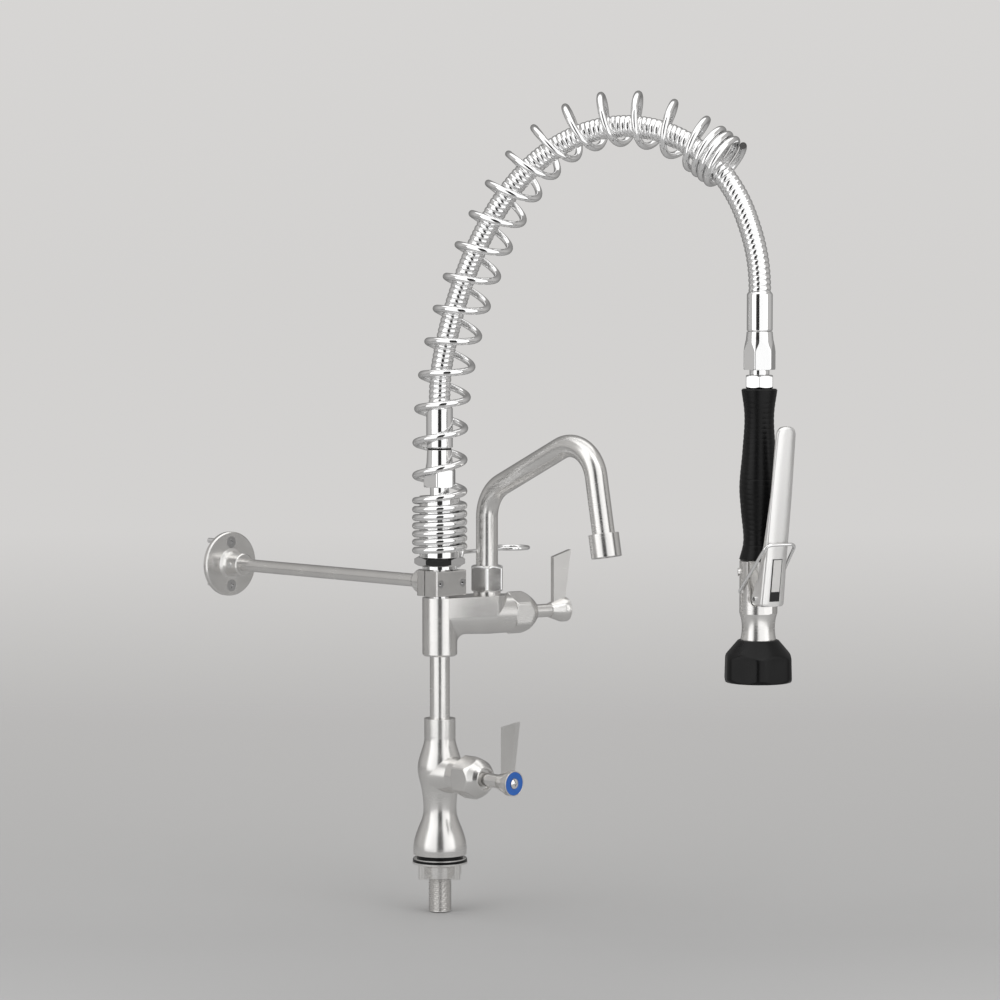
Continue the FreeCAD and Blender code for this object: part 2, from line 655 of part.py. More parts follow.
# ---- wall bracket ----
def clamp_front():
    depth = -CLAMP_FRONT_Y - CLAMP_SPLIT / 2
    body = Part.makeBox(CLAMP_W, depth, CLAMP_H, V(-CLAMP_W / 2, CLAMP_FRONT_Y, CLAMP_Z))
    edges = [e for e in body.Edges if abs(e.CenterOfMass.y - CLAMP_FRONT_Y) < 0.01]
    body = body.makeFillet(CLAMP_FRONT_FILLET, edges)
    body = body.cut(cylinder(NIPPLE_R + SIT, CLAMP_Z - 1, CLAMP_TOP + 1))
    for x in (-CLAMP_SCREW_X, CLAMP_SCREW_X):
        face = V(x, CLAMP_FRONT_Y, ROD_Z)
        body = body.cut(rod_along(CLAMP_SCREW_R + SIT, face - V(0, 1, 0), V(x, 0, ROD_Z)))
        body = body.cut(rod_along(CLAMP_HEAD_R + SIT, face - V(0, 1, 0), face + V(0, CLAMP_HEAD_H, 0)))
    return body


def clamp_rear():
    depth = CLAMP_BACK_Y - CLAMP_SPLIT / 2
    body = Part.makeBox(CLAMP_W, depth, CLAMP_H, V(-CLAMP_W / 2, CLAMP_SPLIT / 2, CLAMP_Z))
    back = [e for e in body.Edges if abs(e.CenterOfMass.y - CLAMP_BACK_Y) < 0.01]
    edges = [e for e in back if abs(abs(e.CenterOfMass.x) - CLAMP_W / 2) < 0.01]
    body = body.makeFillet(CLAMP_REAR_FILLET, edges)
    barrel = revolved([(0, 0), (CLAMP_BARREL_R, 0), (CLAMP_BARREL_R, CLAMP_BARREL_END - CLAMP_TAPER),
                       (ROD_R + 1.6, CLAMP_BARREL_END), (0, CLAMP_BARREL_END)])
    barrel = placed(barrel, V(0, 0.0, ROD_Z), V(0, 1, 0), UP)
    body = body.fuse(barrel.cut(Part.makeBox(60, 40, 60, V(-30, -40 + CLAMP_SPLIT / 2, ROD_Z - 30))))
    body = body.cut(cylinder(NIPPLE_R + SIT, CLAMP_Z - 1, CLAMP_TOP + 1))
    start = CLAMP_BARREL_END - ROD_SOCKET
    body = body.cut(rod_along(ROD_R + SIT, V(0, start, ROD_Z), V(0, CLAMP_BARREL_END + 1, ROD_Z)))
    for x in (-CLAMP_SCREW_X, CLAMP_SCREW_X):
        body = body.cut(rod_along(CLAMP_SCREW_R + SIT, V(x, 0, ROD_Z), V(x, CLAMP_BACK_Y - 3, ROD_Z)))
    return body


def clamp_screws():
    screws = []
    for x in (-CLAMP_SCREW_X, CLAMP_SCREW_X):
        face = V(x, CLAMP_FRONT_Y, ROD_Z)
        screw = rod_along(CLAMP_HEAD_R, face, face + V(0, CLAMP_HEAD_H, 0))
        screw = screw.fuse(rod_along(CLAMP_SCREW_R, face + V(0, 1, 0), V(x, CLAMP_BACK_Y - 3.2, ROD_Z)))
        socket = placed(hexagon(CLAMP_SCREW_SOCKET, -1, 2.0), face, V(0, 1, 0), UP)
        screws.append(screw.cut(socket).removeSplitter())
    return Part.Compound(screws)


def bracket_rod():
    start = CLAMP_BARREL_END - ROD_SOCKET + SIT
    return rod_along(ROD_R, V(0, start, ROD_Z), V(0, WALL_Y - SIT - 1.0, ROD_Z))


def screw_places():
    return [V(0, WALL_Y, ROD_Z + side * WALL_SCREW_PCD / 2) for side in (-1, 1)]


def wall_flange():
    plate = [(0, 0), (FLANGE_R, 0), (FLANGE_R, FLANGE_T - 1.2), (FLANGE_R - 1.2, FLANGE_T),
             (FLANGE_HUB_R + FLANGE_HUB_FILLET, FLANGE_T), (FLANGE_HUB_R + 1.2, FLANGE_T + 1.2),
             (FLANGE_HUB_R, FLANGE_T + FLANGE_HUB_FILLET), (FLANGE_HUB_R, FLANGE_HUB_L - 1),
             (FLANGE_HUB_R - 1, FLANGE_HUB_L), (0, FLANGE_HUB_L)]
    body = placed(revolved(plate), V(0, WALL_Y, ROD_Z), V(0, -1, 0), UP)
    bore_end = V(0, WALL_Y - 1.0 + SIT, ROD_Z)
    body = body.cut(rod_along(ROD_R + SIT, V(0, WALL_Y - FLANGE_HUB_L - 1, ROD_Z), bore_end))
    for place in screw_places():
        body = body.cut(rod_along(WALL_SCREW_HOLE_R, place - V(0, FLANGE_T + 1, 0), place + V(0, 1, 0)))
        sink = Part.makeCone(WALL_SCREW_HEAD_R + 0.1, WALL_SCREW_HOLE_R, WALL_SCREW_HEAD_H,
                             place - V(0, FLANGE_T, 0), V(0, 1, 0))
        body = body.cut(sink)
    hub_middle = WALL_Y - FLANGE_HUB_L * 0.62
    side = V(-FLANGE_HUB_R - 1, hub_middle, ROD_Z)
    return body.cut(rod_along(SET_SCREW_R + SIT, side, V(0, hub_middle, ROD_Z)))


def flange_set_screw():
    hub_middle = WALL_Y - FLANGE_HUB_L * 0.62
    start = V(-ROD_R - SIT, hub_middle, ROD_Z)
    screw = rod_along(SET_SCREW_R, start, start - V(SET_SCREW_L, 0, 0))
    socket = placed(hexagon(2.5, 0, 2.5), start - V(SET_SCREW_L + 0.5, 0, 0), V(1, 0, 0), UP)
    return screw.cut(socket)


def wall_screws():
    screws = []
    for place in screw_places():
        top = place - V(0, FLANGE_T, 0)
        head = Part.makeCone(WALL_SCREW_HEAD_R, WALL_SCREW_R, WALL_SCREW_HEAD_H, top, V(0, 1, 0))
        screw = head.fuse(rod_along(WALL_SCREW_R, top + V(0, 1, 0), top + V(0, WALL_SCREW_LENGTH, 0)))
        for turn in (0, 90):
            slot = Part.makeBox(5.2, 1.4, 1.2, V(-2.6, -0.7, -0.01))
            slot.rotate(V(0, 0, 0), UP, turn)
            screw = screw.cut(placed(slot, top, V(0, 1, 0), UP))
        screws.append(screw.removeSplitter())
    return Part.Compound(screws)


# ---- overhead spring and hose ----
def upper_nipple():
    body = cylinder(NIPPLE_R, TEE_TOP - NIPPLE_SOCKET + SIT, SEAT_Z - FACE_GAP)
    body = body.fuse(cylinder(NIPPLE_TOP_R, TEE_TOP, COUPLING_Z + COUPLING_DEPTH - FACE_GAP))
    bore = cylinder(NIPPLE_BORE_R, TEE_TOP - NIPPLE_SOCKET - 1, COUPLING_Z + COUPLING_DEPTH)
    return body.cut(bore).removeSplitter()


def spring_seat():
    body = chamfered_hexagon(SEAT_HEX_AF, SEAT_Z, SEAT_Z + SEAT_HEX_H, 0.4, 14.0)
    body = body.fuse(cylinder(SEAT_SLEEVE_R, SEAT_Z + SEAT_HEX_H - 1, SEAT_SLEEVE_TOP))
    body = body.cut(cylinder(SEAT_SLEEVE_R - 2.0, SEAT_Z + SEAT_HEX_H + 4, SEAT_SLEEVE_TOP + 1))
    body = body.fuse(cylinder(SEAT_SLEEVE_R - 1.0, SEAT_SLEEVE_TOP - 8, SEAT_SLEEVE_TOP))
    return body.cut(cylinder(NIPPLE_TOP_R + RUN, SEAT_Z - 1, SEAT_SLEEVE_TOP + 1)).removeSplitter()


def coupling_nut():
    hex_top = COUPLING_Z + COUPLING_HEX_H
    corner = COUPLING_AF / math.sqrt(3)
    body = hexagon(COUPLING_AF, COUPLING_Z, hex_top, 20.0)
    body = body.common(revolved([(0, COUPLING_Z), (corner - 1, COUPLING_Z), (corner, COUPLING_Z + 1.2),
                                 (corner, hex_top - 2), (COUPLING_AF / 2 - 0.5, hex_top), (0, hex_top)]))
    cone = revolved([(0, hex_top - 0.5), (COUPLING_AF / 2 - 0.8, hex_top - 0.5),
                     (COUPLING_TOP_R + 0.6, hex_top + 5), (COUPLING_TOP_R, COUPLING_TOP_Z),
                     (0, COUPLING_TOP_Z)])
    body = body.fuse(cone)
    body = body.cut(cylinder(NIPPLE_TOP_R + RUN, COUPLING_Z - 1, COUPLING_Z + COUPLING_DEPTH))
    return body.cut(cylinder(NIPPLE_BORE_R, COUPLING_Z, COUPLING_TOP_Z + 1)).removeSplitter()


def coupling_seal():
    return tube(COUPLING_TOP_R - 0.5, NIPPLE_BORE_R, COUPLING_TOP_Z, COUPLING_TOP_Z + COUPLING_SEAL_T)


def lower_ferrule():
    low = COUPLING_TOP_Z + COUPLING_SEAL_T
    body = revolved([(0, low), (FERRULE_R - 0.6, low), (FERRULE_R, low + 0.6), (FERRULE_R, FERRULE_TOP - 1.2),
                     (FERRULE_R - 1.2, FERRULE_TOP), (0, FERRULE_TOP)])
    return body.cut(cylinder(NIPPLE_BORE_R, low - 1, FERRULE_TOP - 6))


def upper_ferrule():
    low = SPRAY_TOP - SPRAY_FERRULE_L
    body = revolved([(0, low), (SPRAY_FERRULE_R, low), (SPRAY_FERRULE_R, SPRAY_TOP - 1.0),
                     (SPRAY_FERRULE_R - 1.0, SPRAY_TOP), (0, SPRAY_TOP)])
    body = body.cut(cylinder(GRIP_CORE_BORE_R, low - 1, SPRAY_TOP - 6))
    body.translate(SPRAY_PLACE)
    return body


def hose():
    path, radii = tangent_path([overhead_point(s, z) for s, z in HOSE_ROUTE])
    body = swept(path, HOSE_R)
    print("hose radii", [round(r) for r in radii])
    share = body.Volume / (math.pi * HOSE_R ** 2 * path.Length)
    print(f"hose length {path.Length:.1f}, volume over section times length {share:.4f}")
    return body


def spring_frames(path):
    """The route's length and a function from length along it to place, tangent and in-plane normal."""
    count = 600
    points = path.discretize(Number=count + 1)
    step = path.Length / count
    across = UP.cross(OVERHEAD)

    def frame(length):
        at = min(max(length / step, 0), count - 1e-6)
        k = int(at)
        here = points[k] + (points[k + 1] - points[k]) * (at - k)
        ahead = points[min(k + 3, count)] - points[max(k - 2, 0)]
        ahead.normalize()
        return here, across, across.cross(ahead)

    return path.Length, frame


def overhead_spring():
    path, _ = tangent_path([overhead_point(s, z) for s, z in SPRING_ROUTE])
    length, frame = spring_frames(path)
    foot = SPRING_WIRE_R + 0.25
    closed_foot = CLOSED_TURNS_FOOT * CLOSED_PITCH
    closed_end = CLOSED_TURNS_END * CLOSED_PITCH
    open_pitch = (length - foot - closed_foot - closed_end) / OPEN_TURNS
    turns = CLOSED_TURNS_FOOT + OPEN_TURNS + CLOSED_TURNS_END
    blend = 0.5

    def along(turn):
        """Distance along the route after so many turns; the pitch changes over half a turn each side."""
        total = foot + CLOSED_PITCH * turn
        for start, sign in ((CLOSED_TURNS_FOOT, 1), (CLOSED_TURNS_FOOT + OPEN_TURNS, -1)):
            past = turn - start
            extra = sign * (open_pitch - CLOSED_PITCH)
            if past > blend:
                total += extra * past
            elif past > -blend:
                total += extra * (past + blend) ** 2 / (4 * blend)
        return total

    def wire_point(turn):
        here, side, inward = frame(along(turn))
        a = -2 * math.pi * turn      # a right-handed helix
        return here + side * (SPRING_R * math.cos(a)) + inward * (SPRING_R * math.sin(a))

    count = round(turns * ARCS_PER_TURN)
    edges = []
    for k in range(count):
        first = turns * k / count
        last = turns * (k + 1) / count
        edges.append(Part.Arc(wire_point(first), wire_point((first + last) / 2), wire_point(last)).toShape())
    print(f"spring open pitch {open_pitch:.1f}, route {length:.1f}")
    return swept(Part.Wire(edges), SPRING_WIRE_R)


def hook_torus(thickness):
    loop_at = HOOK_REACH + HOOK_LOOP_R - HOOK_WIRE_R / 2
    return Part.makeTorus(HOOK_LOOP_R, thickness, V(loop_at, 0, HOOK_Z), UP)


def hook_loop():
    """The wire loop that the spray valve hangs on, brazed to the hook's stem."""
    body = hook_torus(HOOK_WIRE_R)
    body.rotate(V(0, 0, 0), UP, HOOK_ANGLE)
    return body


def spray_hook():
    """A ring on the nipple under the spring seat, and a wire stem that ends at the loop."""
    top = SEAT_Z - FACE_GAP - APART / 2
    middle = top - HOOK_WIRE_R
    body = cylinder(HOOK_RING_R, top - HOOK_RING_T, top)
    end = HOOK_REACH - HOOK_WIRE_R / 2
    stem = filleted_path([V(HOOK_RING_R - 2, 0, middle), V(HOOK_STEM_FOOT, 0, middle),
                          V(HOOK_STEM_FOOT + 3.5, 0, HOOK_Z), V(end, 0, HOOK_Z)], [3.2, 3.2])
    body = body.fuse(swept(stem, HOOK_WIRE_R)).cut(hook_torus(HOOK_WIRE_R))
    body = body.cut(cylinder(NIPPLE_R + SIT, top - HOOK_RING_T - 1, top + 1))
    body.rotate(V(0, 0, 0), UP, HOOK_ANGLE)
    return body


# ---- spray valve, built on the Z axis and moved out; local +X is the way the lever faces ----
def on_spray(shape):
    return placed(shape, SPRAY_PLACE, UP, LEVER_WAY)


def swivel_nut():
    top = SPRAY_TOP - SPRAY_FERRULE_L - FACE_GAP
    low = top - SWIVEL_H
    corner = SWIVEL_AF / math.sqrt(3)
    body = hexagon(SWIVEL_AF, low, top, 10.0)
    body = body.common(revolved([(0, low), (corner - 0.6, low), (corner, low + 1), (corner, low + 15),
                                 (SWIVEL_TOP_R + 0.5, top - 7), (SWIVEL_TOP_R - 0.4, top), (0, top)]))
    body = body.fuse(cylinder(SWIVEL_NECK_R, low - SWIVEL_NECK_H, low + 1))
    return body.cut(cylinder(GRIP_CORE_BORE_R, low - SWIVEL_NECK_H - 1, top + 1)).removeSplitter()


def adaptor():
    top = SPRAY_TOP - SPRAY_FERRULE_L - FACE_GAP - SWIVEL_H - SWIVEL_NECK_H
    low = top - ADAPTOR_H
    body = chamfered_hexagon(ADAPTOR_AF, low, top, 0.4, 25.0)
    return body.cut(cylinder(GRIP_CORE_BORE_R, low - 1, top + 1))


def grip_core():
    top = SPRAY_TOP - SPRAY_FERRULE_L - FACE_GAP - SWIVEL_H - SWIVEL_NECK_H - ADAPTOR_H
    return tube(GRIP_CORE_R, GRIP_CORE_BORE_R, BODY_TOP, top)


def grip():
    top = SPRAY_TOP - SPRAY_FERRULE_L - FACE_GAP - SWIVEL_H - SWIVEL_NECK_H - ADAPTOR_H
    profile = [(r, top if k == 0 else z) for k, (r, z) in enumerate(GRIP_PROFILE)]
    body = revolved_curve(profile, [(0, top)], [(0, BODY_TOP)])
    return body.cut(cylinder(GRIP_CORE_R + SIT, BODY_TOP - 1, top + 1))


def spray_body():
    body = revolved([(0, BODY_BOTTOM), (BODY_R, BODY_BOTTOM), (BODY_R, BODY_TOP - 0.8),
                     (BODY_R - 0.8, BODY_TOP),
                     (0, BODY_TOP)])
    flat = Part.makeBox(6, 2 * LEVER_FOOT_HALF, 60, V(BODY_R - 0.5, -LEVER_FOOT_HALF, BODY_BOTTOM))
    lug = Part.makeBox(8, 16, 14, V(PIVOT_A - 4, -8, PIVOT_Z - 7))
    body = body.cut(flat)
    inside = lever_half(BODY_TOP) - LEVER_WALL - APART
    for side in (-1, 1):
        room = rod_along(EAR_R + APART, V(PIVOT_A, side * inside, PIVOT_Z),
                         V(PIVOT_A, side * (BODY_R + 5), PIVOT_Z))
        body = body.cut(room)
        body = body.cut(Part.makeBox(BODY_R, 12, BODY_TOP - PIVOT_Z + 1,
                                     V(PIVOT_A - EAR_R - APART, side * (inside + 6) - 6, PIVOT_Z)))
    body = body.fuse(lug.common(rod_along(6, V(PIVOT_A, -8, PIVOT_Z), V(PIVOT_A, 8, PIVOT_Z))))
    body = body.cut(rod_along(PIVOT_PIN_R + SIT, V(PIVOT_A, -20, PIVOT_Z), V(PIVOT_A, 20, PIVOT_Z)))
    body = body.cut(cylinder(GRIP_CORE_BORE_R, PIVOT_Z + 8, BODY_TOP + 1))
    body = body.cut(cylinder(GRIP_CORE_BORE_R, BODY_BOTTOM - 1, PIVOT_Z - 2, V(-3, 0, 0)))
    body = body.cut(rod_along(2.2, V(-3, 0, PIVOT_Z - 4), V(-3, 0, PIVOT_Z + 12)))
    body = body.cut(rod_along(PLUNGER_R + RUN, V(-1, 0, PLUNGER_Z), V(BODY_R + 9, 0, PLUNGER_Z)))
    head_room = rod_along(PLUNGER_HEAD_R + 0.4, V(BODY_R - 3.5, 0, PLUNGER_Z), V(BODY_R + 9, 0, PLUNGER_Z))
    body = body.cut(head_room)
    for side in (-1, 1):
        body = body.cut(rod_along(BAIL_WIRE_R + RUN, V(BAIL_A, side * (BODY_R - BAIL_PIN - 1), BAIL_Z),
                                  V(BAIL_A, side * (BODY_R + 5), BAIL_Z)))
    way = V(math.cos(math.radians(SIDE_SCREW_ANGLE)), math.sin(math.radians(SIDE_SCREW_ANGLE)), 0)
    height = V(0, 0, SIDE_SCREW_Z)
    screw = rod_along(SIDE_SCREW_R, way * (BODY_R - 3) + height, way * (BODY_R + SIDE_SCREW_PROUD) + height)
    return body.fuse(screw).removeSplitter()


def spray_neck():
    top = (NECK_PROFILE[0][0], BODY_BOTTOM)
    foot = (NECK_PROFILE[-1][0], NECK_BOTTOM)
    body = revolved_curve(NECK_PROFILE, [(0, BODY_BOTTOM), top], [foot, (0, NECK_BOTTOM)])
    return body.cut(cylinder(GRIP_CORE_BORE_R + 3, NECK_BOTTOM - 1, BODY_BOTTOM + 1))


def spray_bumper():
    body = hexagon(BUMPER_AF, BUMPER_BOTTOM_Z, BUMPER_TOP_Z, 180 / BUMPER_SIDES, BUMPER_SIDES)
    upright = [e for e in body.Edges if e.BoundBox.ZLength > 1]
    body = body.makeFillet(BUMPER_EDGE, upright)
    body = body.common(revolved([(0, BUMPER_BOTTOM_Z), (BUMPER_R - BUMPER_CHAMFER, BUMPER_BOTTOM_Z),
                                 (BUMPER_R, BUMPER_BOTTOM_Z + BUMPER_CHAMFER),
                                 (BUMPER_SHOULDER_R, BUMPER_SHOULDER_Z),
                                 (BUMPER_TOP_R, BUMPER_TOP_Z), (0, BUMPER_TOP_Z)]))
    body = body.cut(cylinder(NECK_PROFILE[-1][0] + SIT, NECK_BOTTOM, BUMPER_TOP_Z + 1))
    body = body.cut(cylinder(GRIP_CORE_BORE_R + 3, PLATE_Z, BUMPER_TOP_Z))
    body = body.cut(cylinder(BUMPER_MOUTH_R, BUMPER_BOTTOM_Z - 1, PLATE_Z + PLATE_T))
    return body.removeSplitter()


def spray_plate():
    body = cylinder(BUMPER_MOUTH_R - SIT, PLATE_Z, PLATE_Z + PLATE_T)
    for k in range(PLATE_HOLES):
        a = 2 * math.pi * k / PLATE_HOLES
        at = V(PLATE_HOLE_PCD / 2 * math.cos(a), PLATE_HOLE_PCD / 2 * math.sin(a), 0)
        body = body.cut(cylinder(PLATE_HOLE_R, PLATE_Z - 1, PLATE_Z + PLATE_T + 1, at))
    return body


def lever_outline(inset):
    """Side view of the lever as (distance, height) corners, set in from its outer face."""
    return [(LEVER_FOOT_A - inset, LEVER_FOOT_Z), (LEVER_TOP_A - inset, LEVER_TOP_Z),
            (LEVER_TOP_A - 4.5, LEVER_TOP_Z), (LEVER_TOP_A - 11, LEVER_TOP_Z - 60),
            (LEVER_FOOT_A + 1.0, LEVER_FOOT_Z + 55),
            (LEVER_FOOT_A - 7.5, LEVER_FOOT_Z + 24), (PIVOT_A - EAR_R + 1, PIVOT_Z + EAR_R - 1),
            (PIVOT_A, LEVER_FOOT_Z)]


def lever_front(inset):
    """Front view of the lever as a slab, narrowed by inset on each side."""
    low = LEVER_FRONT_Z
    foot = LEVER_FOOT_HALF - inset
    top = LEVER_TOP_HALF - inset
    shoulder = LEVER_TOP_Z - LEVER_TOP_HALF
    edges = [Part.LineSegment(V(0, -foot, low), V(0, -top, shoulder)).toShape(),
             Part.Arc(V(0, -top, shoulder), V(0, 0, shoulder + top), V(0, top, shoulder)).toShape(),
             Part.LineSegment(V(0, top, shoulder), V(0, foot, low)).toShape(),
             Part.LineSegment(V(0, foot, low), V(0, -foot, low)).toShape()]
    return Part.Face(Part.Wire(edges)).extrude(V(LEVER_TOP_A + 10, 0, 0))


def side_slab(outline):
    points = [V(a, -LEVER_FOOT_HALF - 1, z) for a, z in outline]
    points.append(points[0])
    return Part.Face(Part.makePolygon(points)).extrude(V(0, 2 * LEVER_FOOT_HALF + 2, 0))


def lever():
    shell = side_slab(lever_outline(0))
    ear = rod_along(EAR_R, V(PIVOT_A, -LEVER_FOOT_HALF, PIVOT_Z), V(PIVOT_A, LEVER_FOOT_HALF, PIVOT_Z))
    shell = shell.fuse(ear)
    shell = shell.common(lever_front(0))
    inner = [(LEVER_FOOT_A - LEVER_WEB, LEVER_FOOT_Z - 30), (LEVER_FOOT_A - LEVER_WEB, LEVER_FOOT_Z),
             (LEVER_TOP_A - LEVER_WEB, LEVER_TOP_Z), (LEVER_TOP_A - 40, LEVER_TOP_Z),
             (-20, LEVER_FOOT_Z - 30)]
    shell = shell.cut(side_slab(inner).common(lever_front(LEVER_WALL)))
    shell = shell.cut(rod_along(PIVOT_PIN_R + RUN, V(PIVOT_A, -20, PIVOT_Z), V(PIVOT_A, 20, PIVOT_Z)))
    return shell.removeSplitter()


def lever_half(height):
    """Half the lever's width at this height."""
    share = (height - LEVER_FRONT_Z) / (LEVER_TOP_Z - LEVER_TOP_HALF - LEVER_FRONT_Z)
    return LEVER_FOOT_HALF + (LEVER_TOP_HALF - LEVER_FOOT_HALF) * share


def lever_face_a(height):
    """Where the lever's outer face lies at this height."""
    rise = (height - LEVER_FOOT_Z) / (LEVER_TOP_Z - LEVER_FOOT_Z)
    return LEVER_FOOT_A + (LEVER_TOP_A - LEVER_FOOT_A) * rise


def lever_plaque():
    low = lever_face_a(PLAQUE_Z0)
    high = lever_face_a(PLAQUE_Z1)
    points = [V(low, -PLAQUE_W / 2, PLAQUE_Z0), V(high, -PLAQUE_W / 2, PLAQUE_Z1),
              V(high + PLAQUE_T, -PLAQUE_W / 2, PLAQUE_Z1), V(low + PLAQUE_T, -PLAQUE_W / 2, PLAQUE_Z0)]
    points.append(points[0])
    return Part.Face(Part.makePolygon(points)).extrude(V(0, PLAQUE_W, 0))


def pivot_pin():
    return rod_along(PIVOT_PIN_R, V(PIVOT_A, -PIVOT_PIN_HALF, PIVOT_Z), V(PIVOT_A, PIVOT_PIN_HALF, PIVOT_Z))


def plunger():
    body = rod_along(PLUNGER_R, V(PLUNGER_IN, 0, PLUNGER_Z), V(PLUNGER_REACH, 0, PLUNGER_Z))
    head = V(PLUNGER_REACH - PLUNGER_HEAD_T, 0, PLUNGER_Z)
    return body.fuse(rod_along(PLUNGER_HEAD_R, head, V(PLUNGER_REACH, 0, PLUNGER_Z))).removeSplitter()


def hold_ring():
    """A wire bail; local path in its own plane, then leaned over the lever."""
    side = BAIL_HALF
    tip = BAIL_TIP_HALF
    root = side - BAIL_PIN - 1
    path = filleted_path([V(0, root, 0), V(0, side, 0), V(0, tip, BAIL_REACH), V(0, -tip, BAIL_REACH),
                          V(0, -side, 0), V(0, -root, 0)],
                         [BAIL_ROOT_BEND, BAIL_TIP_BEND, BAIL_TIP_BEND, BAIL_ROOT_BEND])
    body = swept(path, BAIL_WIRE_R)
    body.rotate(V(0, 0, 0), V(0, 1, 0), BAIL_LEAN)
    body.translate(V(BAIL_A, 0, BAIL_Z))
    return body


def save_all():
    os.makedirs("parts", exist_ok=True)
    for make in (base_body, inlet_shank, deck_gasket, deck_washer, clamp_gasket, wing_nut, riser_tube,
                 riser_seal, tee_body, clamp_front, clamp_rear, clamp_screws, bracket_rod, wall_flange,
                 flange_set_screw, wall_screws, upper_nipple, spring_seat, coupling_nut, coupling_seal,
                 lower_ferrule, upper_ferrule, hose, overhead_spring, spray_hook, hook_loop):
        save(make.__name__, make())
    save_valve("lower", V(0, -PORT_FACE, PORT_Z), V(0, -1, 0))
    save_valve("upper", V(0, 0, ARM_Z) + ARM * ARM_LENGTH, ARM)
    for make in (spout_tube, spout_orings, spout_nut, spout_collar, spout_insert):
        shape = make()
        shape.translate(ARM * SPOUT_AT)
        save(make.__name__, shape)
    for make in (swivel_nut, adaptor, grip_core, grip, spray_body, spray_neck, spray_bumper, spray_plate,
                 lever, lever_plaque, pivot_pin, plunger, hold_ring):
        save(make.__name__, on_spray(make()))


save_all()
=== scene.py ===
import math

import bmesh
import bpy
import numpy as np
from bpy.props import FloatProperty, FloatVectorProperty, PointerProperty
from mathutils import Matrix, Vector


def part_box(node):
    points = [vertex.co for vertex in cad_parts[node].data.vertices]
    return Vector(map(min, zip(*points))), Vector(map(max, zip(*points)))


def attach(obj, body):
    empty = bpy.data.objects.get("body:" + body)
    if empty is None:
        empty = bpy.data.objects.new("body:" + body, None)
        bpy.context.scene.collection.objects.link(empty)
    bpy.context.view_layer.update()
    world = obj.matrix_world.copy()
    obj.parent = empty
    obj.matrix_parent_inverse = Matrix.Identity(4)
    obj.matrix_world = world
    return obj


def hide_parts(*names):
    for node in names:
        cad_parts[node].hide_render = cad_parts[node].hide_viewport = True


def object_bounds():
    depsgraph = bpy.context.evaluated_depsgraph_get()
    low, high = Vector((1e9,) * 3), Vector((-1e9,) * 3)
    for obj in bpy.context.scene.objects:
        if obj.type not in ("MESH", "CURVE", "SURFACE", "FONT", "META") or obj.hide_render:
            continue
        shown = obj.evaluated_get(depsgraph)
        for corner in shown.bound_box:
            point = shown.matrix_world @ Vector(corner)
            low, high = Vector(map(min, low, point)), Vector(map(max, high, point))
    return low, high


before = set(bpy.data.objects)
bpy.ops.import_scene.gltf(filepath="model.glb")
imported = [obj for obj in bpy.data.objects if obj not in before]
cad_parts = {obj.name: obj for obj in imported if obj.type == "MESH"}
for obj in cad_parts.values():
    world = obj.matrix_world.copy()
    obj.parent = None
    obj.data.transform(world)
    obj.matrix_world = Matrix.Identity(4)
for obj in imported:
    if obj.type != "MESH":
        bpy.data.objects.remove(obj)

bl_info = {
    "name": "Pre-rinse faucet",
    "version": (1, 0, 0),
    "blender": (4, 5, 0),
    "location": "View3D > Sidebar > Faucet",
    "description": "Finishes a pre-rinse faucet's metal, rubber, spring and hose around its CAD frame",
    "category": "Object",
}

CAD_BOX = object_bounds()
UP = np.array([0.0, 0.0, 1.0])

# Routes in the overhead plane, as distance out from the riser's axis and height, the same as the CAD model's.
SPRING_ROUTE = [(0, 0.271), (0, 0.345), (0.001, 0.400), (0.009, 0.453), (0.025, 0.507), (0.047, 0.560),
                (0.078, 0.612), (0.118, 0.649), (0.164, 0.664), (0.210, 0.659), (0.246, 0.641),
                (0.274, 0.620)]
HOSE_ROUTE = [(0, 0.407), (0, 0.430), (0.006, 0.464), (0.018, 0.506), (0.036, 0.550), (0.063, 0.595),
              (0.098, 0.630), (0.139, 0.651), (0.182, 0.657), (0.224, 0.648), (0.259, 0.626), (0.284, 0.595),
              (0.298, 0.560), (0.3047, 0.529), (0.3047, 0.510)]


# ---- places read from the frame ----
def low(node):
    """The low corner of a node's box."""
    return np.array(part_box(node)[0])


def high(node):
    """The high corner of a node's box."""
    return np.array(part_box(node)[1])


def centre(node):
    """The middle of a node's box."""
    return (low(node) + high(node)) / 2


def height_of(node):
    """A node's height."""
    return (high(node) - low(node))[2]


def level(vector):
    """The unit vector along the horizontal part of a vector."""
    flat = np.array([vector[0], vector[1], 0.0])
    return flat / np.linalg.norm(flat)


def on_axis(node, height=None):
    """The point at this height on a node's upright axis, or at its foot."""
    return np.array([*centre(node)[:2], low(node)[2] if height is None else height])


OVERHEAD = level(centre("swivel_nut"))
ARM = level(centre("upper_bonnet"))
LOWER_WAY = np.array([0.0, -1.0, 0.0])
LEVER_WAY = level(centre("lever") - centre("swivel_nut"))
VALVE_SIDE = np.cross(UP, LEVER_WAY)


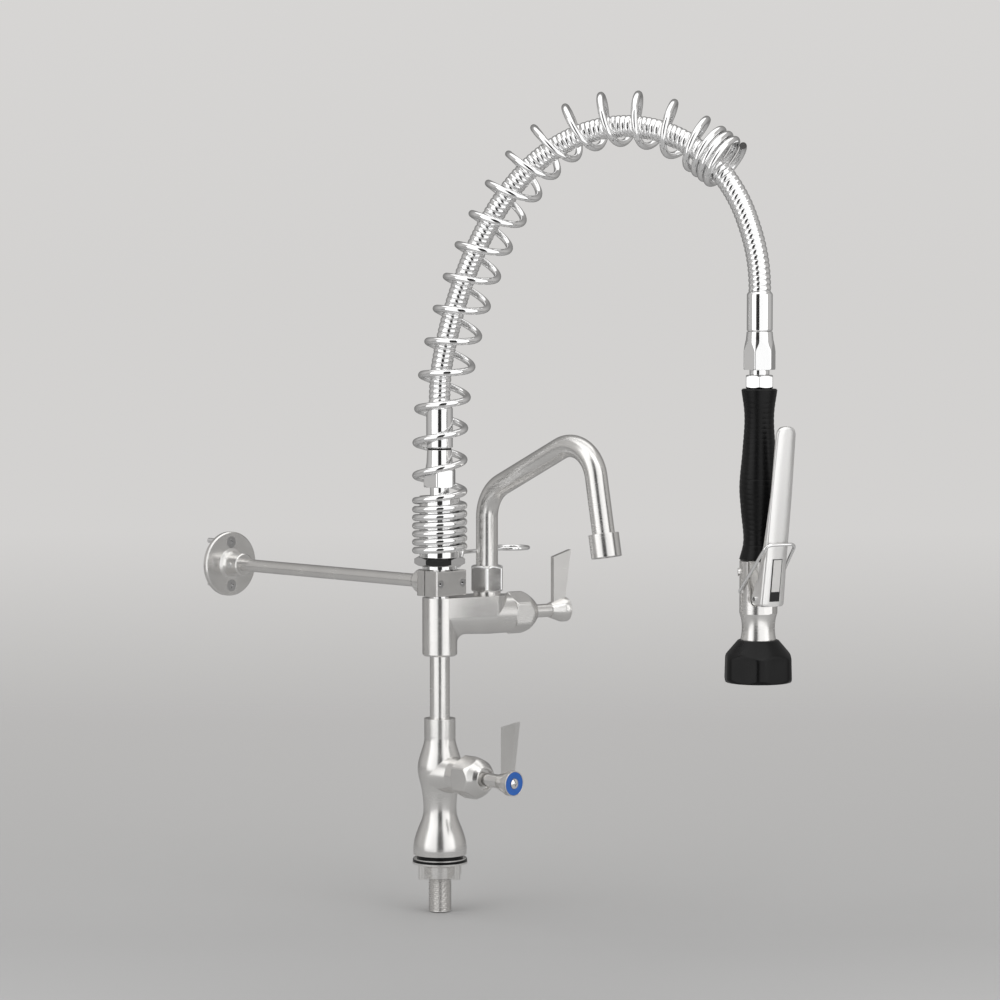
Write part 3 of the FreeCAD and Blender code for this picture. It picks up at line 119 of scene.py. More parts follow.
# ---- shapes: each is a shell, points and faces with them, whose last entry is -1 in a triangle ----
def grid_shell(points, wrap_rows=False, caps=True):
    """Four-sided faces between neighbouring rows and columns of a grid of points. Columns close on
    themselves. Rows do too with wrap_rows, or each end is closed by a fan about its middle."""
    rows, columns = points.shape[:2]
    index = np.arange(rows * columns).reshape(rows, columns)
    after = np.roll(index, -1, axis=0)
    if not wrap_rows:
        index, after = index[:-1], after[:-1]
    faces = np.stack([index, np.roll(index, -1, 1), np.roll(after, -1, 1), after], -1).reshape(-1, 4)
    flat = points.reshape(-1, 3)
    if caps and not wrap_rows:
        ring = np.arange(columns)
        last = (rows - 1) * columns
        following, hub, none = np.roll(ring, -1), np.full(columns, len(flat)), np.full(columns, -1)
        first_fan = np.stack([hub, following, ring, none], -1)
        last_fan = np.stack([hub + 1, last + ring, last + following, none], -1)
        flat = np.concatenate([flat, [points[0].mean(0)], [points[-1].mean(0)]])
        faces = np.concatenate([faces, first_fan, last_fan])
    return outward(flat, faces)


def outward(points, faces):
    """The shell with its faces turned over if the volume they enclose comes out negative."""
    a, b, c = points[faces[:, 0]], points[faces[:, 1]], points[faces[:, 2]]
    volume = np.einsum("ij,ij->i", a, np.cross(b, c)).sum()
    quads = faces[faces[:, 3] >= 0]
    a, c, d = points[quads[:, 0]], points[quads[:, 2]], points[quads[:, 3]]
    volume += np.einsum("ij,ij->i", a, np.cross(c, d)).sum()
    if volume < 0:
        flipped = faces[:, [2, 1, 0, 3]]
        four = faces[:, 3] >= 0
        flipped[four] = faces[four][:, ::-1]
        faces = flipped
    return points, faces


def rounded(corners, radius, steps=5):
    """A line through corners, each inner corner replaced by a curve that starts and ends this far from it:
    (1-t)^2 start + 2t(1-t) corner + t^2 end."""
    corners = np.asarray(corners, float)
    t = np.linspace(0, 1, steps)[:, None]
    pieces = [corners[:1]]
    for before, here, after in zip(corners, corners[1:], corners[2:]):
        to_before, to_after = before - here, after - here
        reach = min(radius, 0.45 * np.linalg.norm(to_before), 0.45 * np.linalg.norm(to_after))
        start = here + to_before / np.linalg.norm(to_before) * reach
        end = here + to_after / np.linalg.norm(to_after) * reach
        pieces.append((1 - t) ** 2 * start + 2 * t * (1 - t) * here + t ** 2 * end)
    return np.concatenate(pieces + [corners[-1:]])


def arcs(corners, radii, step=0.0008):
    """A line through corners, each inner corner replaced by a true arc of its radius."""
    corners = np.asarray(corners, float)
    pieces = [corners[:1]]
    for before, here, after, radius in zip(corners, corners[1:], corners[2:], radii):
        back = (before - here) / np.linalg.norm(before - here)
        on = (after - here) / np.linalg.norm(after - here)
        half = math.acos(np.dot(back, on)) / 2
        middle = here + (back + on) / np.linalg.norm(back + on) * radius / math.sin(half)
        first = here + back * radius / math.tan(half) - middle
        last = here + on * radius / math.tan(half) - middle
        span = math.pi - 2 * half
        t = np.linspace(0, 1, max(4, int(span * radius / step) + 2))[:, None]
        pieces.append(middle + (np.sin((1 - t) * span) * first + np.sin(t * span) * last) / math.sin(span))
    return dense(np.concatenate(pieces + [corners[-1:]]), 4 * step)


def closed_rounded(corners, radius, steps=5):
    """The same for a closed line, whose first corner is rounded too."""
    corners = np.asarray(corners, float)
    around = np.concatenate([corners[-1:], corners, corners[:1]])
    return rounded(around, radius, steps)[1:-1]


def lengths(line):
    """How far along a line each of its points lies."""
    return np.concatenate([[0], np.cumsum(np.linalg.norm(np.diff(line, axis=0), axis=1))])


def read_at(at, length, line):
    """A line read at some lengths, straight between its points."""
    return np.stack([np.interp(at, length, column) for column in line.T], -1)


def dense(line, step):
    """The line with points added so that no run is longer than step."""
    line = np.asarray(line, float)
    length = lengths(line)
    at = np.unique(np.round(np.concatenate([length, np.arange(0, length[-1], step)]), 7))
    return read_at(at, length, line)


def angles(columns):
    """Evenly spaced angles round a full turn."""
    return 2 * np.pi * np.arange(columns) / columns


def smooth_profile(points, count):
    """A smooth curve through points of (radius, height): cubic pieces whose slope at each point is that of
    the line between its neighbours."""
    p = np.asarray(points, float)
    slope = np.gradient(p, axis=0)
    t = np.linspace(0, len(p) - 1, count)
    k = np.minimum(t.astype(int), len(p) - 2)
    f = (t - k)[:, None]
    return ((2 * f ** 3 - 3 * f ** 2 + 1) * p[k] + (f ** 3 - 2 * f ** 2 + f) * slope[k]
            + (3 * f ** 2 - 2 * f ** 3) * p[k + 1] + (f ** 3 - f ** 2) * slope[k + 1])


def frame_of(way, toward):
    """Unit vectors x, y, z with z along way and x as near as possible to toward."""
    z = np.asarray(way, float) / np.linalg.norm(way)
    x = np.asarray(toward, float) - np.dot(toward, z) * z
    x /= np.linalg.norm(x)
    return x, np.cross(z, x), z


def polygon_radius(angle, sides, first_flat):
    """Distance from the middle to the edge of a polygon of inner radius 1 with slightly rounded corners: one
    over the p-norm of the cosines of the angles to its flats."""
    flats = first_flat + 2 * np.pi * np.arange(sides) / sides
    cosines = np.maximum(np.cos(angle[..., None] - flats), 0)
    return 1 / (cosines ** 70).sum(-1) ** (1 / 70)


def turned(base, way, toward, profile, columns=96, closed=False, sides=0, across=0.0, first_flat=0.0):
    """A profile of (radius, distance along way) turned about an axis. With sides, the radius is about the
    lesser of the profile's and the polygon's of that width across flats: (r^-90 + d^-90)^(-1/90)."""
    x, y, z = frame_of(way, toward)
    profile = np.asarray(profile, float)
    angle = angles(columns)
    radius = np.repeat(profile[:, :1], columns, 1)
    if sides:
        limit = across / 2 * polygon_radius(angle, sides, first_flat)[None]
        radius = np.maximum(radius, 1e-6)
        radius = 1 / ((1 / radius) ** 90 + (1 / limit) ** 90) ** (1 / 90)
    points = (base + radius[..., None] * (np.cos(angle)[:, None] * x + np.sin(angle)[:, None] * y)
              + profile[:, 1, None, None] * z)
    return grid_shell(points, wrap_rows=closed)


def swept(path, side, radius, columns=24, wrap=False):
    """A round section carried along a path. side is a vector, or one per point, that is never along the path;
    radius is a number or an array of one row per point."""
    path = np.asarray(path, float)
    if wrap:
        ahead = np.roll(path, -1, 0) - np.roll(path, 1, 0)
    else:
        ahead = np.gradient(path, axis=0)
    ahead /= np.linalg.norm(ahead, axis=1)[:, None]
    side = np.broadcast_to(np.asarray(side, float), path.shape)
    across = side - np.einsum("ij,ij->i", side, ahead)[:, None] * ahead
    across /= np.linalg.norm(across, axis=1)[:, None]
    other = np.cross(ahead, across)
    angle = angles(columns)
    radius = np.broadcast_to(radius, (len(path), columns))[..., None]
    points = (path[:, None] + radius * (np.cos(angle)[:, None] * across[:, None]
                                        + np.sin(angle)[:, None] * other[:, None]))
    return grid_shell(points, wrap_rows=wrap)


def route_line(route, step):
    """Evenly spaced points on the smooth spline of a route in the overhead plane."""
    curve = bpy.data.curves.new("route", "CURVE")
    curve.dimensions = "3D"
    spline = curve.splines.new("NURBS")
    spline.points.add(len(route) - 1)
    for point, (out, height) in zip(spline.points, route):
        point.co = (*(OVERHEAD * out + UP * height), 1)
    spline.order_u = 3
    spline.use_endpoint_u = True
    spline.resolution_u = 24
    holder = bpy.data.objects.new("route", curve)
    mesh = bpy.data.meshes.new_from_object(holder)
    line = np.empty(len(mesh.vertices) * 3)
    mesh.vertices.foreach_get("co", line)
    bpy.data.objects.remove(holder)
    bpy.data.curves.remove(curve)
    bpy.data.meshes.remove(mesh)
    line = line.reshape(-1, 3)
    length = lengths(line)
    at = np.linspace(0, length[-1], int(length[-1] / step) + 1)
    return read_at(at, length, line), length[-1]


# ---- pieces ----
def new_piece(name, shell, body, slot, replaced=(), sharp=38):
    """A mesh object of a shell, on a body, with a slot's finish and in place of its CAD nodes. Edges past the
    sharp angle stay crisp."""
    points, faces = shell
    mesh = bpy.data.meshes.new(name)
    mesh.from_pydata(points, [], [[i for i in face if i >= 0] for face in faces.tolist()])
    mesh.validate()
    mesh.shade_smooth()
    mesh.set_sharp_from_angle(angle=math.radians(sharp))
    piece = bpy.data.objects.new(name, mesh)
    return finished(piece, body, slot, replaced)


def finished(piece, body, slot, replaced):
    """The piece put in the scene with its finish, on its body and in place of its CAD nodes."""
    bpy.context.scene.collection.objects.link(piece)
    piece.data.materials.clear()
    piece.data.materials.append(finish(slot))
    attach(piece, body)
    if replaced:
        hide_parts(*replaced)
    return piece


def softened(node, width, body, slot):
    """A copy of a CAD node whose edges are bevelled by width, with normals that favour its large faces."""
    shape = bmesh.new()
    shape.from_mesh(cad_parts[node].data)
    bmesh.ops.remove_doubles(shape, verts=shape.verts, dist=1e-6)
    flat = math.radians(0.6)
    bmesh.ops.dissolve_limit(shape, angle_limit=flat, verts=shape.verts, edges=shape.edges)
    sharp = [e for e in shape.edges if len(e.link_faces) == 2 and e.calc_face_angle(0) > math.radians(32)]
    bmesh.ops.bevel(shape, geom=sharp, offset=width, offset_type="OFFSET", segments=2, profile=0.5,
                    affect="EDGES", clamp_overlap=True)
    bmesh.ops.recalc_face_normals(shape, faces=shape.faces)
    mesh = bpy.data.meshes.new(node + "_soft")
    shape.to_mesh(mesh)
    shape.free()
    mesh.shade_smooth()
    mesh.set_sharp_from_angle(angle=math.radians(50))
    piece = bpy.data.objects.new(node + "_soft", mesh)
    finished(piece, body, slot, (node,))
    weighted = piece.modifiers.new("even_faces", "WEIGHTED_NORMAL")
    weighted.keep_sharp = True
    return piece


# ---- finishes ----
def nodes_of(name):
    """A new material with its shader, and functions to add a node and to link two sockets."""
    material = bpy.data.materials.new(name)
    material.use_nodes = True
    tree = material.node_tree
    return material, tree.nodes["Principled BSDF"], tree.nodes.new, tree.links.new


def grain(new, link, scale, stretch, detail=3.0):
    """A noise on Object coordinates, stretched by a scale on each axis."""
    where = new("ShaderNodeTexCoord")
    mapping = new("ShaderNodeMapping")
    mapping.inputs["Scale"].default_value = stretch
    noise = new("ShaderNodeTexNoise")
    noise.inputs["Scale"].default_value = scale
    noise.inputs["Detail"].default_value = detail
    link(where.outputs["Object"], mapping.inputs["Vector"])
    link(mapping.outputs["Vector"], noise.inputs["Vector"])
    return noise.outputs["Fac"]


def ranged(new, link, value, least, most, start=0.3, end=0.7):
    """A value between start and end carried to the range least to most."""
    node = new("ShaderNodeMapRange")
    node.inputs["From Min"].default_value = start
    node.inputs["From Max"].default_value = end
    node.inputs["To Min"].default_value = least
    node.inputs["To Max"].default_value = most
    link(value, node.inputs["Value"])
    return node.outputs["Result"]


def combined(new, link, operation, first, second):
    """A Math node of two values, each a socket or a number."""
    node = new("ShaderNodeMath")
    node.operation = operation
    for socket, value in zip(node.inputs, (first, second)):
        if isinstance(value, float):
            socket.default_value = value
        else:
            link(value, socket)
    return node.outputs[0]


def along(new, link, place, way):
    """How far a place lies along a way: their dot product."""
    node = new("ShaderNodeVectorMath")
    node.operation = "DOT_PRODUCT"
    node.inputs[1].default_value = tuple(way)
    link(place, node.inputs[0])
    return node.outputs["Value"]


def shaded(new, link, value, colour, darker):
    """The colour, with a darker share of it where value is low."""
    mix = new("ShaderNodeMix")
    mix.data_type = "RGBA"
    mix.inputs["A"].default_value = [c * darker for c in colour[:3]] + [1]
    mix.inputs["B"].default_value = list(colour[:3]) + [1]
    link(value, mix.inputs["Factor"])
    return mix.outputs["Result"]


def bumped(new, link, shader, heights, depth, strength):
    """Bumps of this depth, in metres, from heights of 0 to 1."""
    bump = new("ShaderNodeBump")
    bump.inputs["Distance"].default_value = depth
    bump.inputs["Strength"].default_value = strength
    link(heights, bump.inputs["Height"])
    link(bump.outputs["Normal"], shader.inputs["Normal"])


def metal(name, colour, roughness, spread, lines, depth, stain=0.94):
    """Bare metal: fine finishing lines, a slow drift of roughness and faint handling."""
    material, shader, new, link = nodes_of(name)
    shader.inputs["Metallic"].default_value = 1.0
    fine = grain(new, link, 1.0, lines, 4.0)
    slow = grain(new, link, 38.0, (1, 1, 1), 2.0)
    link(shaded(new, link, ranged(new, link, slow, 0, 1), colour, stain), shader.inputs["Base Color"])
    rough = ranged(new, link, slow, roughness - spread, roughness + spread)
    rough = combined(new, link, "ADD", rough, ranged(new, link, fine, -spread, spread))
    link(rough, shader.inputs["Roughness"])
    bumped(new, link, shader, fine, depth, 0.6)
    return material


def rubber(name, colour, roughness, grain_size, depth):
    """Moulded black rubber: a fine pebble, and a grey bloom on what is handled."""
    material, shader, new, link = nodes_of(name)
    pebble = grain(new, link, 1 / grain_size, (1, 1, 1), 2.0)
    bloom = grain(new, link, 30.0, (1, 1, 1), 4.0)
    link(shaded(new, link, ranged(new, link, bloom, 0, 1), colour, 0.55), shader.inputs["Base Color"])
    link(ranged(new, link, bloom, roughness + 0.08, roughness - 0.05), shader.inputs["Roughness"])
    shader.inputs["Specular IOR Level"].default_value = 0.22
    bumped(new, link, shader, pebble, depth, 0.5)
    return material


def plastic(name, colour, roughness):
    """Glossy moulded plastic or glazed ceramic with a faint orange-peel skin."""
    material, shader, new, link = nodes_of(name)
    skin = grain(new, link, 900.0, (1, 1, 1), 2.0)
    slow = grain(new, link, 60.0, (1, 1, 1), 2.0)
    link(shaded(new, link, ranged(new, link, slow, 0, 1), colour, 0.88), shader.inputs["Base Color"])
    link(ranged(new, link, skin, roughness - 0.03, roughness + 0.05), shader.inputs["Roughness"])
    bumped(new, link, shader, skin, 0.00004, 0.4)
    return material


def inked(name, colour, ink):
    """Satin plate whose faces with the attribute ink are enamelled dark."""
    material = metal(name, colour, 0.38, 0.04, (1400, 1400, 90), 0.00002)
    tree = material.node_tree
    new, link = tree.nodes.new, tree.links.new
    shader = tree.nodes["Principled BSDF"]
    where = new("ShaderNodeAttribute")
    where.attribute_name = "ink"
    bare = shader.inputs["Base Color"].links[0].from_socket
    mix = new("ShaderNodeMix")
    mix.data_type = "RGBA"
    mix.inputs["B"].default_value = [*ink[:3], 1]
    link(where.outputs["Fac"], mix.inputs["Factor"])
    link(bare, mix.inputs["A"])
    link(mix.outputs["Result"], shader.inputs["Base Color"])
    link(ranged(new, link, where.outputs["Fac"], 1.0, 0.0, 0.0, 1.0), shader.inputs["Metallic"])
    return material


def make_finishes():
    """The finish of every slot in the record."""
    tint = bpy.context.scene.faucet_finish
    round_lines = (60, 60, 2600)
    makers = {
        "satin_steel": (metal, tint.steel, 0.25, 0.02, round_lines, 0.000006),
        "polished_chrome": (metal, tint.chrome, 0.075, 0.015, (300, 300, 300), 0.000004, 0.97),
        "hose_steel": (metal, tint.chrome, 0.13, 0.03, (900, 900, 900), 0.000008),
        "lever_satin": (metal, tint.lever, 0.34, 0.02, (1400, 1400, 90), 0.000006, 0.98),
        "black_rubber": (rubber, tint.rubber, 0.30, 0.0011, 0.00002),
        "black_grip": (rubber, tint.rubber, 0.32, 0.0009, 0.00003),
        "brass_inner": (metal, tint.brass, 0.3, 0.05, round_lines, 0.00002),
        "ceramic": (plastic, tint.ceramic, 0.25),
        "index_blue": (plastic, tint.index, 0.22),
        "grey_plastic": (plastic, tint.plastic, 0.35),
        "plaque": (inked, tint.steel, tint.rubber),
    }
    return {slot: make(slot, *values) for slot, (make, *values) in makers.items()}


FINISHES = {}


def finish(slot):
    """A slot's finish, made with all the others the first time that one is asked for."""
    if not FINISHES:
        FINISHES.update(make_finishes())
    return FINISHES[slot]


# ---- sizes and colours a user would change ----
def length(name, description, default):
    return FloatProperty(name=name, description=description, default=default, unit="LENGTH", precision=5)


def colour(name, description, default):
    return FloatVectorProperty(name=name, description=description, default=default, size=3, subtype="COLOR",
                               min=0, max=1)


class FaucetFinish(bpy.types.PropertyGroup):
    steel: colour("Steel", "Satin stainless steel of the body, arm, spout and bracket", (0.83, 0.82, 0.805))
    chrome: colour("Chrome", "Polished plating of the spring, hose and nuts", (0.93, 0.93, 0.93))
    lever: colour("Lever", "Satin cast lever", (0.88, 0.875, 0.865))
    rubber: colour("Rubber", "Black rubber of the grip, bumper and gaskets", (0.005, 0.005, 0.0053))
    brass: colour("Brass", "Inner brass pieces", (0.78, 0.56, 0.25))
    ceramic: colour("Ceramic", "Valve discs", (0.8, 0.79, 0.76))
    index: colour("Index ring", "Cold water index", (0.03, 0.16, 0.6))
    plastic: colour("Grey plastic", "Spray plate and outlet insert", (0.35, 0.35, 0.36))


class FaucetSpring(bpy.types.PropertyGroup):
    wire: length("Wire radius", "Radius of the spring's wire", 0.00315)
    coil: length("Coil radius", "Radius of the coil to the wire's centre", 0.02185)
    closed_pitch: length("Closed pitch", "Rise of one closed turn", 0.0074)
    closed_foot: FloatProperty(name="Closed foot", description="Closed turns at the foot", default=6.6)
    closed_end: FloatProperty(name="Closed end", description="Closed turns at the end", default=3.6)
    open_turns: FloatProperty(name="Open turns", description="Turns of the open stretch", default=17)


class FaucetHose(bpy.types.PropertyGroup):
    radius: length("Radius", "Outer radius of the hose", 0.00975)
    pitch: length("Pitch", "Length of one turn of the wound strip", 0.0046)
    groove: length("Groove", "Depth of the groove between turns", 0.0008)


class FaucetSpray(bpy.types.PropertyGroup):
    rib_pitch: length("Rib pitch", "Distance between the grip's ribs", 0.0044)
    rib_depth: length("Rib depth", "Depth of the grip's grooves", 0.00035)
    bumper: length("Bumper", "From the bumper's middle to its flats", 0.0287)
    bumper_edge: length("Bumper corners", "Radius of the bumper's rounded corners", 0.009)
    bail_wire: length("Bail wire", "Radius of the hold-open bail's wire", 0.0014)


class FaucetStudio(bpy.types.PropertyGroup):
    azimuth: FloatProperty(name="Azimuth", description="Camera's turn about the object from its front",
                           default=math.radians(-44), subtype="ANGLE")
    pitch: FloatProperty(name="Pitch", description="Camera's tilt below the horizon",
                         default=math.radians(3.5), subtype="ANGLE")
    distance: length("Distance", "From the camera to the aim point", 3.1)
    aim_right: length("Aim right", "Aim point, to the right of the base's foot", 0.0546)
    aim_up: length("Aim height", "Aim point, above the base's foot", 0.3217)
    lens: FloatProperty(name="Lens", description="Length on a 36 mm sensor", default=122.64, unit="CAMERA")
    panels: length("Panels", "Distance of the two soft panels in front of the riser", 0.7)
    gap: length("Gap", "Width of the dark gap between the two soft panels", 0.36)
    brightness: FloatProperty(name="Brightness", description="Radiance of the soft panels", default=1.04)
    floor: FloatProperty(name="Floor", description="Grey of the floor", default=0.5, min=0, max=1)


# ---- makers ----
class MakeStage(bpy.types.Operator):
    """Camera, floor and soft studio light"""
    bl_idname = "faucet.stage"
    bl_label = "Stage and light"

    PANEL = (1.7, 2.4)      # width and height of each soft panel
    TOP = 2.2               # side of the square panel overhead

    def execute(self, context):
        look = context.scene.faucet_studio
        right = np.array([math.cos(look.azimuth), math.sin(look.azimuth), 0])
        toward_camera = np.array([math.sin(look.azimuth), -math.cos(look.azimuth), 0])
        self.camera(context.scene, look, right, toward_camera)
        make_world(context.scene, toward_camera)
        make_floor(toward_camera)
        self.lights(look, right, toward_camera)
        context.scene.view_settings.view_transform = "Standard"
        return {"FINISHED"}

    @staticmethod
    def camera(scene, look, right, toward_camera):
        """A camera that looks at the aim point from a distance, tilted down by its pitch."""
        ahead = -toward_camera * math.cos(look.pitch) - UP * math.sin(look.pitch)
        upward = np.cross(right, ahead)
        camera = bpy.data.objects.new("camera", bpy.data.cameras.new("camera"))
        scene.collection.objects.link(camera)
        place = right * look.aim_right + upward * look.aim_up - ahead * look.distance
        turn = Matrix((right, upward, -ahead)).transposed()
        camera.matrix_world = Matrix.Translation(Vector(place)) @ turn.to_4x4()
        camera.data.lens = look.lens
        camera.data.sensor_width = 36
        camera.data.clip_start = 0.05
        scene.camera = camera

    def lights(self, look, right, toward_camera):
        """Two upright panels in front with a dark gap between them, which metal shows as a dark line, and one
        overhead."""
        middle = right * 0.03 + UP * 0.3
        for name, side in (("left_softbox", -1), ("right_softbox", 1)):
            place = middle + toward_camera * look.panels + right * side * (look.gap + self.PANEL[0]) / 2
            self.softbox(name, place, place - toward_camera, self.PANEL, look.brightness)
        place = middle + UP * 1.5 + toward_camera * 0.2
        self.softbox("top_softbox", place, middle, (self.TOP, self.TOP), look.brightness * 0.8)

    @staticmethod
    def softbox(name, place, facing, size, radiance):
        """A soft light of this radiance and size that faces a point."""
        data = bpy.data.lights.new(name, "AREA")
        data.shape = "RECTANGLE"
        data.size, data.size_y = size
        data.energy = radiance * math.pi * size[0] * size[1]
        lamp = bpy.data.objects.new(name, data)
        bpy.context.scene.collection.objects.link(lamp)
        lamp.location = Vector(place)
        lamp.rotation_euler = Vector(facing - place).to_track_quat("-Z", "Y").to_euler()
        lamp.visible_camera = False


def make_world(scene, toward_camera):
    """Pale grey seen by the camera. For light and reflections it is dark behind the camera, grey at the sides
    and a darker grey straight behind the faucet."""
    world = bpy.data.worlds.new("studio")
    scene.world = world
    world.use_nodes = True
    new, link = world.node_tree.nodes.new, world.node_tree.links.new
    background = world.node_tree.nodes["Background"]
    where = new("ShaderNodeTexCoord")
    facing = along(new, link, where.outputs["Generated"], toward_camera)
    behind = ranged(new, link, facing, 0.18, 0.5, -1.0, -0.25)
    before = ranged(new, link, facing, 1.0, 0.06, 0.3, 0.9)
    height = new("ShaderNodeSeparateXYZ")
    link(where.outputs["Generated"], height.inputs[0])
    backdrop = ranged(new, link, height.outputs["Z"], 0.652, 0.676, 0.0, 0.085)
    rays = new("ShaderNodeLightPath")
    seen = new("ShaderNodeMix")
    link(rays.outputs["Is Camera Ray"], seen.inputs["Factor"])
    link(combined(new, link, "MULTIPLY", behind, before), seen.inputs["A"])
    link(backdrop, seen.inputs["B"])
    link(seen.outputs["Result"], background.inputs["Strength"])
    background.inputs["Color"].default_value = (1.0, 0.985, 0.97, 1)


def make_floor(toward_camera):
    """A grey disc under the faucet that thins out away from the camera: 0.9 / (1 + 0.74 d) at distance d."""
    reach, spokes, thinning = 6.0, 96, 0.74
    rings = np.array([0.0005, 0.5, 1.0, 1.8, 2.6, 4.0, reach])
    angle = angles(spokes)
    around = np.stack([np.cos(angle), np.sin(angle), np.zeros(spokes)], -1)
    points = rings[:, None, None] * around + UP * (CAD_BOX[0][2] - 0.0005)
    index = np.arange(len(rings) * spokes).reshape(-1, spokes)
    faces = np.stack([index[:-1], index[1:], np.roll(index[1:], -1, 1), np.roll(index[:-1], -1, 1)], -1)
    mesh = bpy.data.meshes.new("floor")
    mesh.from_pydata(points.reshape(-1, 3), [], faces.reshape(-1, 4).tolist())
    floor = bpy.data.objects.new("floor", mesh)
    bpy.context.scene.collection.objects.link(floor)
    material, shader, new, link = nodes_of("floor")
    shade = bpy.context.scene.faucet_studio.floor
    shader.inputs["Base Color"].default_value = (shade, shade, shade, 1)
    shader.inputs["Roughness"].default_value = 0.9
    shader.inputs["Specular IOR Level"].default_value = 0.0
    where = new("ShaderNodeTexCoord")
    away = along(new, link, where.outputs["Object"], -thinning * toward_camera)
    thin = combined(new, link, "DIVIDE", 0.9, combined(new, link, "ADD", away, 1.0))
    fade = ranged(new, link, away, 1.0, 0.0, 1.0, 0.6 * reach)
    link(combined(new, link, "MULTIPLY", thin, fade), shader.inputs["Alpha"])
    mesh.materials.append(material)


class DressFrame(bpy.types.Operator):
    """Give every CAD node that stays in view the finish of its slot"""
    bl_idname = "faucet.dress"
    bl_label = "Dress the frame"

    def execute(self, context):
        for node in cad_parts.values():
            for place in node.material_slots:
                place.material = finish(place.material.name.split(".")[0])
        return {"FINISHED"}


class MakeHose(bpy.types.Operator):
    """The wound steel hose over the spring's arch"""
    bl_idname = "faucet.hose"
    bl_label = "Hose"

    STEPS = 12              # points along one turn of the strip
    COLUMNS = 40            # points round the hose

    def execute(self, context):
        # The radius at distance s and turn a falls to a groove by 1 - |sin(pi (s / pitch - a))|^0.6.
        size = context.scene.faucet_hose
        line, run = route_line(HOSE_ROUTE, size.pitch / self.STEPS)
        distance = np.linspace(0, run, len(line))[:, None]
        turn = np.arange(self.COLUMNS) / self.COLUMNS
        lobe = np.abs(np.sin(np.pi * (distance / size.pitch - turn))) ** 0.6
        tube = swept(line, np.cross(UP, OVERHEAD), size.radius - size.groove * (1 - lobe), self.COLUMNS)
        hose = new_piece("wound_hose", tube, "overhead", "hose_steel", ("hose",), 60)
        return {"FINISHED"}


class MakeSpring(bpy.types.Operator):
    """The overhead spring: closed coils at its foot and end and open coils between"""
    bl_idname = "faucet.spring"
    bl_label = "Overhead spring"

    STEPS = 56              # points along one turn
    COLUMNS = 20            # points round the wire
    BLEND = 0.5             # turns over which the pitch changes, each side of a closed stretch's end
    LIFT = 0.00025          # from the seat to the wire

    def execute(self, context):
        size = context.scene.faucet_spring
        line, run = route_line(SPRING_ROUTE, 0.0005)
        turn, rise = self.turns(size, run)
        at = np.linspace(0, run, len(line))
        here, ahead = read_at(rise, at, line), read_at(rise, at, np.gradient(line, axis=0))
        ahead /= np.linalg.norm(ahead, axis=1)[:, None]
        across = np.cross(UP, OVERHEAD)
        inward = np.cross(across, ahead)
        angle = -2 * np.pi * turn[:, None]
        spoke = across * np.cos(angle) + inward * np.sin(angle)
        wire = swept(here + spoke * size.coil, spoke, size.wire, self.COLUMNS)
        new_piece("spring_coils", wire, "overhead", "polished_chrome", ("overhead_spring",), 50)
        return {"FINISHED"}

    def turns(self, size, run):
        """Turns along the wire, and how far up the route each lies: a line of the closed pitch, with the rest
        of the open pitch added past the foot's closed turns and taken off past the open ones. A parabola
        eases each change in."""
        foot = size.wire + self.LIFT
        closed = (size.closed_foot + size.closed_end) * size.closed_pitch
        open_pitch = (run - foot - closed) / size.open_turns
        total = size.closed_foot + size.open_turns + size.closed_end
        turn = np.linspace(0, total, int(total * self.STEPS))
        rise = foot + size.closed_pitch * turn
        for start, sign in ((size.closed_foot, 1), (size.closed_foot + size.open_turns, -1)):
            past = turn - start
            eased = np.clip(past + self.BLEND, 0, None) ** 2 / (4 * self.BLEND)
            rise = rise + sign * (open_pitch - size.closed_pitch) * np.where(past > self.BLEND, past, eased)
        return turn, rise


def hex_nut(node, body, profile, across, first_flat, way=UP, base=None, toward=(1, 0, 0),
            slot="polished_chrome"):
    """A six-sided nut: a closed profile, from its bore round its outside, cut by six flats."""
    base = on_axis(node) if base is None else base
    line = dense(closed_rounded(profile, 0.0006), 0.0007)
    shell = turned(base, way, toward, line, 144, True, 6, across, first_flat)
    new_piece(node + "_shell", shell, body, slot, (node,), 60)


class MakeNuts(bpy.types.Operator):
    """Six-sided nuts of the spout, the couplings and the spray valve"""
    bl_idname = "faucet.nuts"
    bl_label = "Nuts"

    def execute(self, context):
        height = height_of("spout_nut")
        hex_nut("spout_nut", "fixed",
                [(0.01005, 0), (0.0128, 0), (0.0167, 0.0024), (0.0167, height - 0.0026), (0.0128, height),
                 (0.01005, height)], 0.0286, math.radians(16))
        height = height_of("adaptor")
        hex_nut("adaptor", "spray_valve",
                [(0.005, 0), (0.0108, 0), (0.0136, 0.0018), (0.0136, height - 0.0018), (0.0108, height),
                 (0.005, height)], 0.0234, self.on_valve(55))
        height = height_of("coupling_nut")
        hex_nut("coupling_nut", "overhead",
                [(0.00865, 0), (0.0146, 0), (0.0156, 0.0012), (0.0156, 0.015), (0.0131, 0.017),
                 (0.0127, 0.0171), (0.0118, 0.022), (0.0112, height), (0.0055, height), (0.0055, 0.015),
                 (0.00865, 0.015)], 0.027, math.radians(9))
        height = height_of("swivel_nut")
        hex_nut("swivel_nut", "spray_valve",
                [(0.005, 0), (0.0086, 0), (0.0086, 0.0045), (0.0138, 0.0045), (0.0145, 0.0058),
                 (0.0145, 0.0195), (0.0119, height - 0.007), (0.0112, height), (0.005, height)],
                0.025, self.on_valve(40))
        return {"FINISHED"}

    @staticmethod
    def on_valve(degrees):
        """A turn from the lever's way as one from +X."""
        return math.atan2(LEVER_WAY[1], LEVER_WAY[0]) + math.radians(degrees)


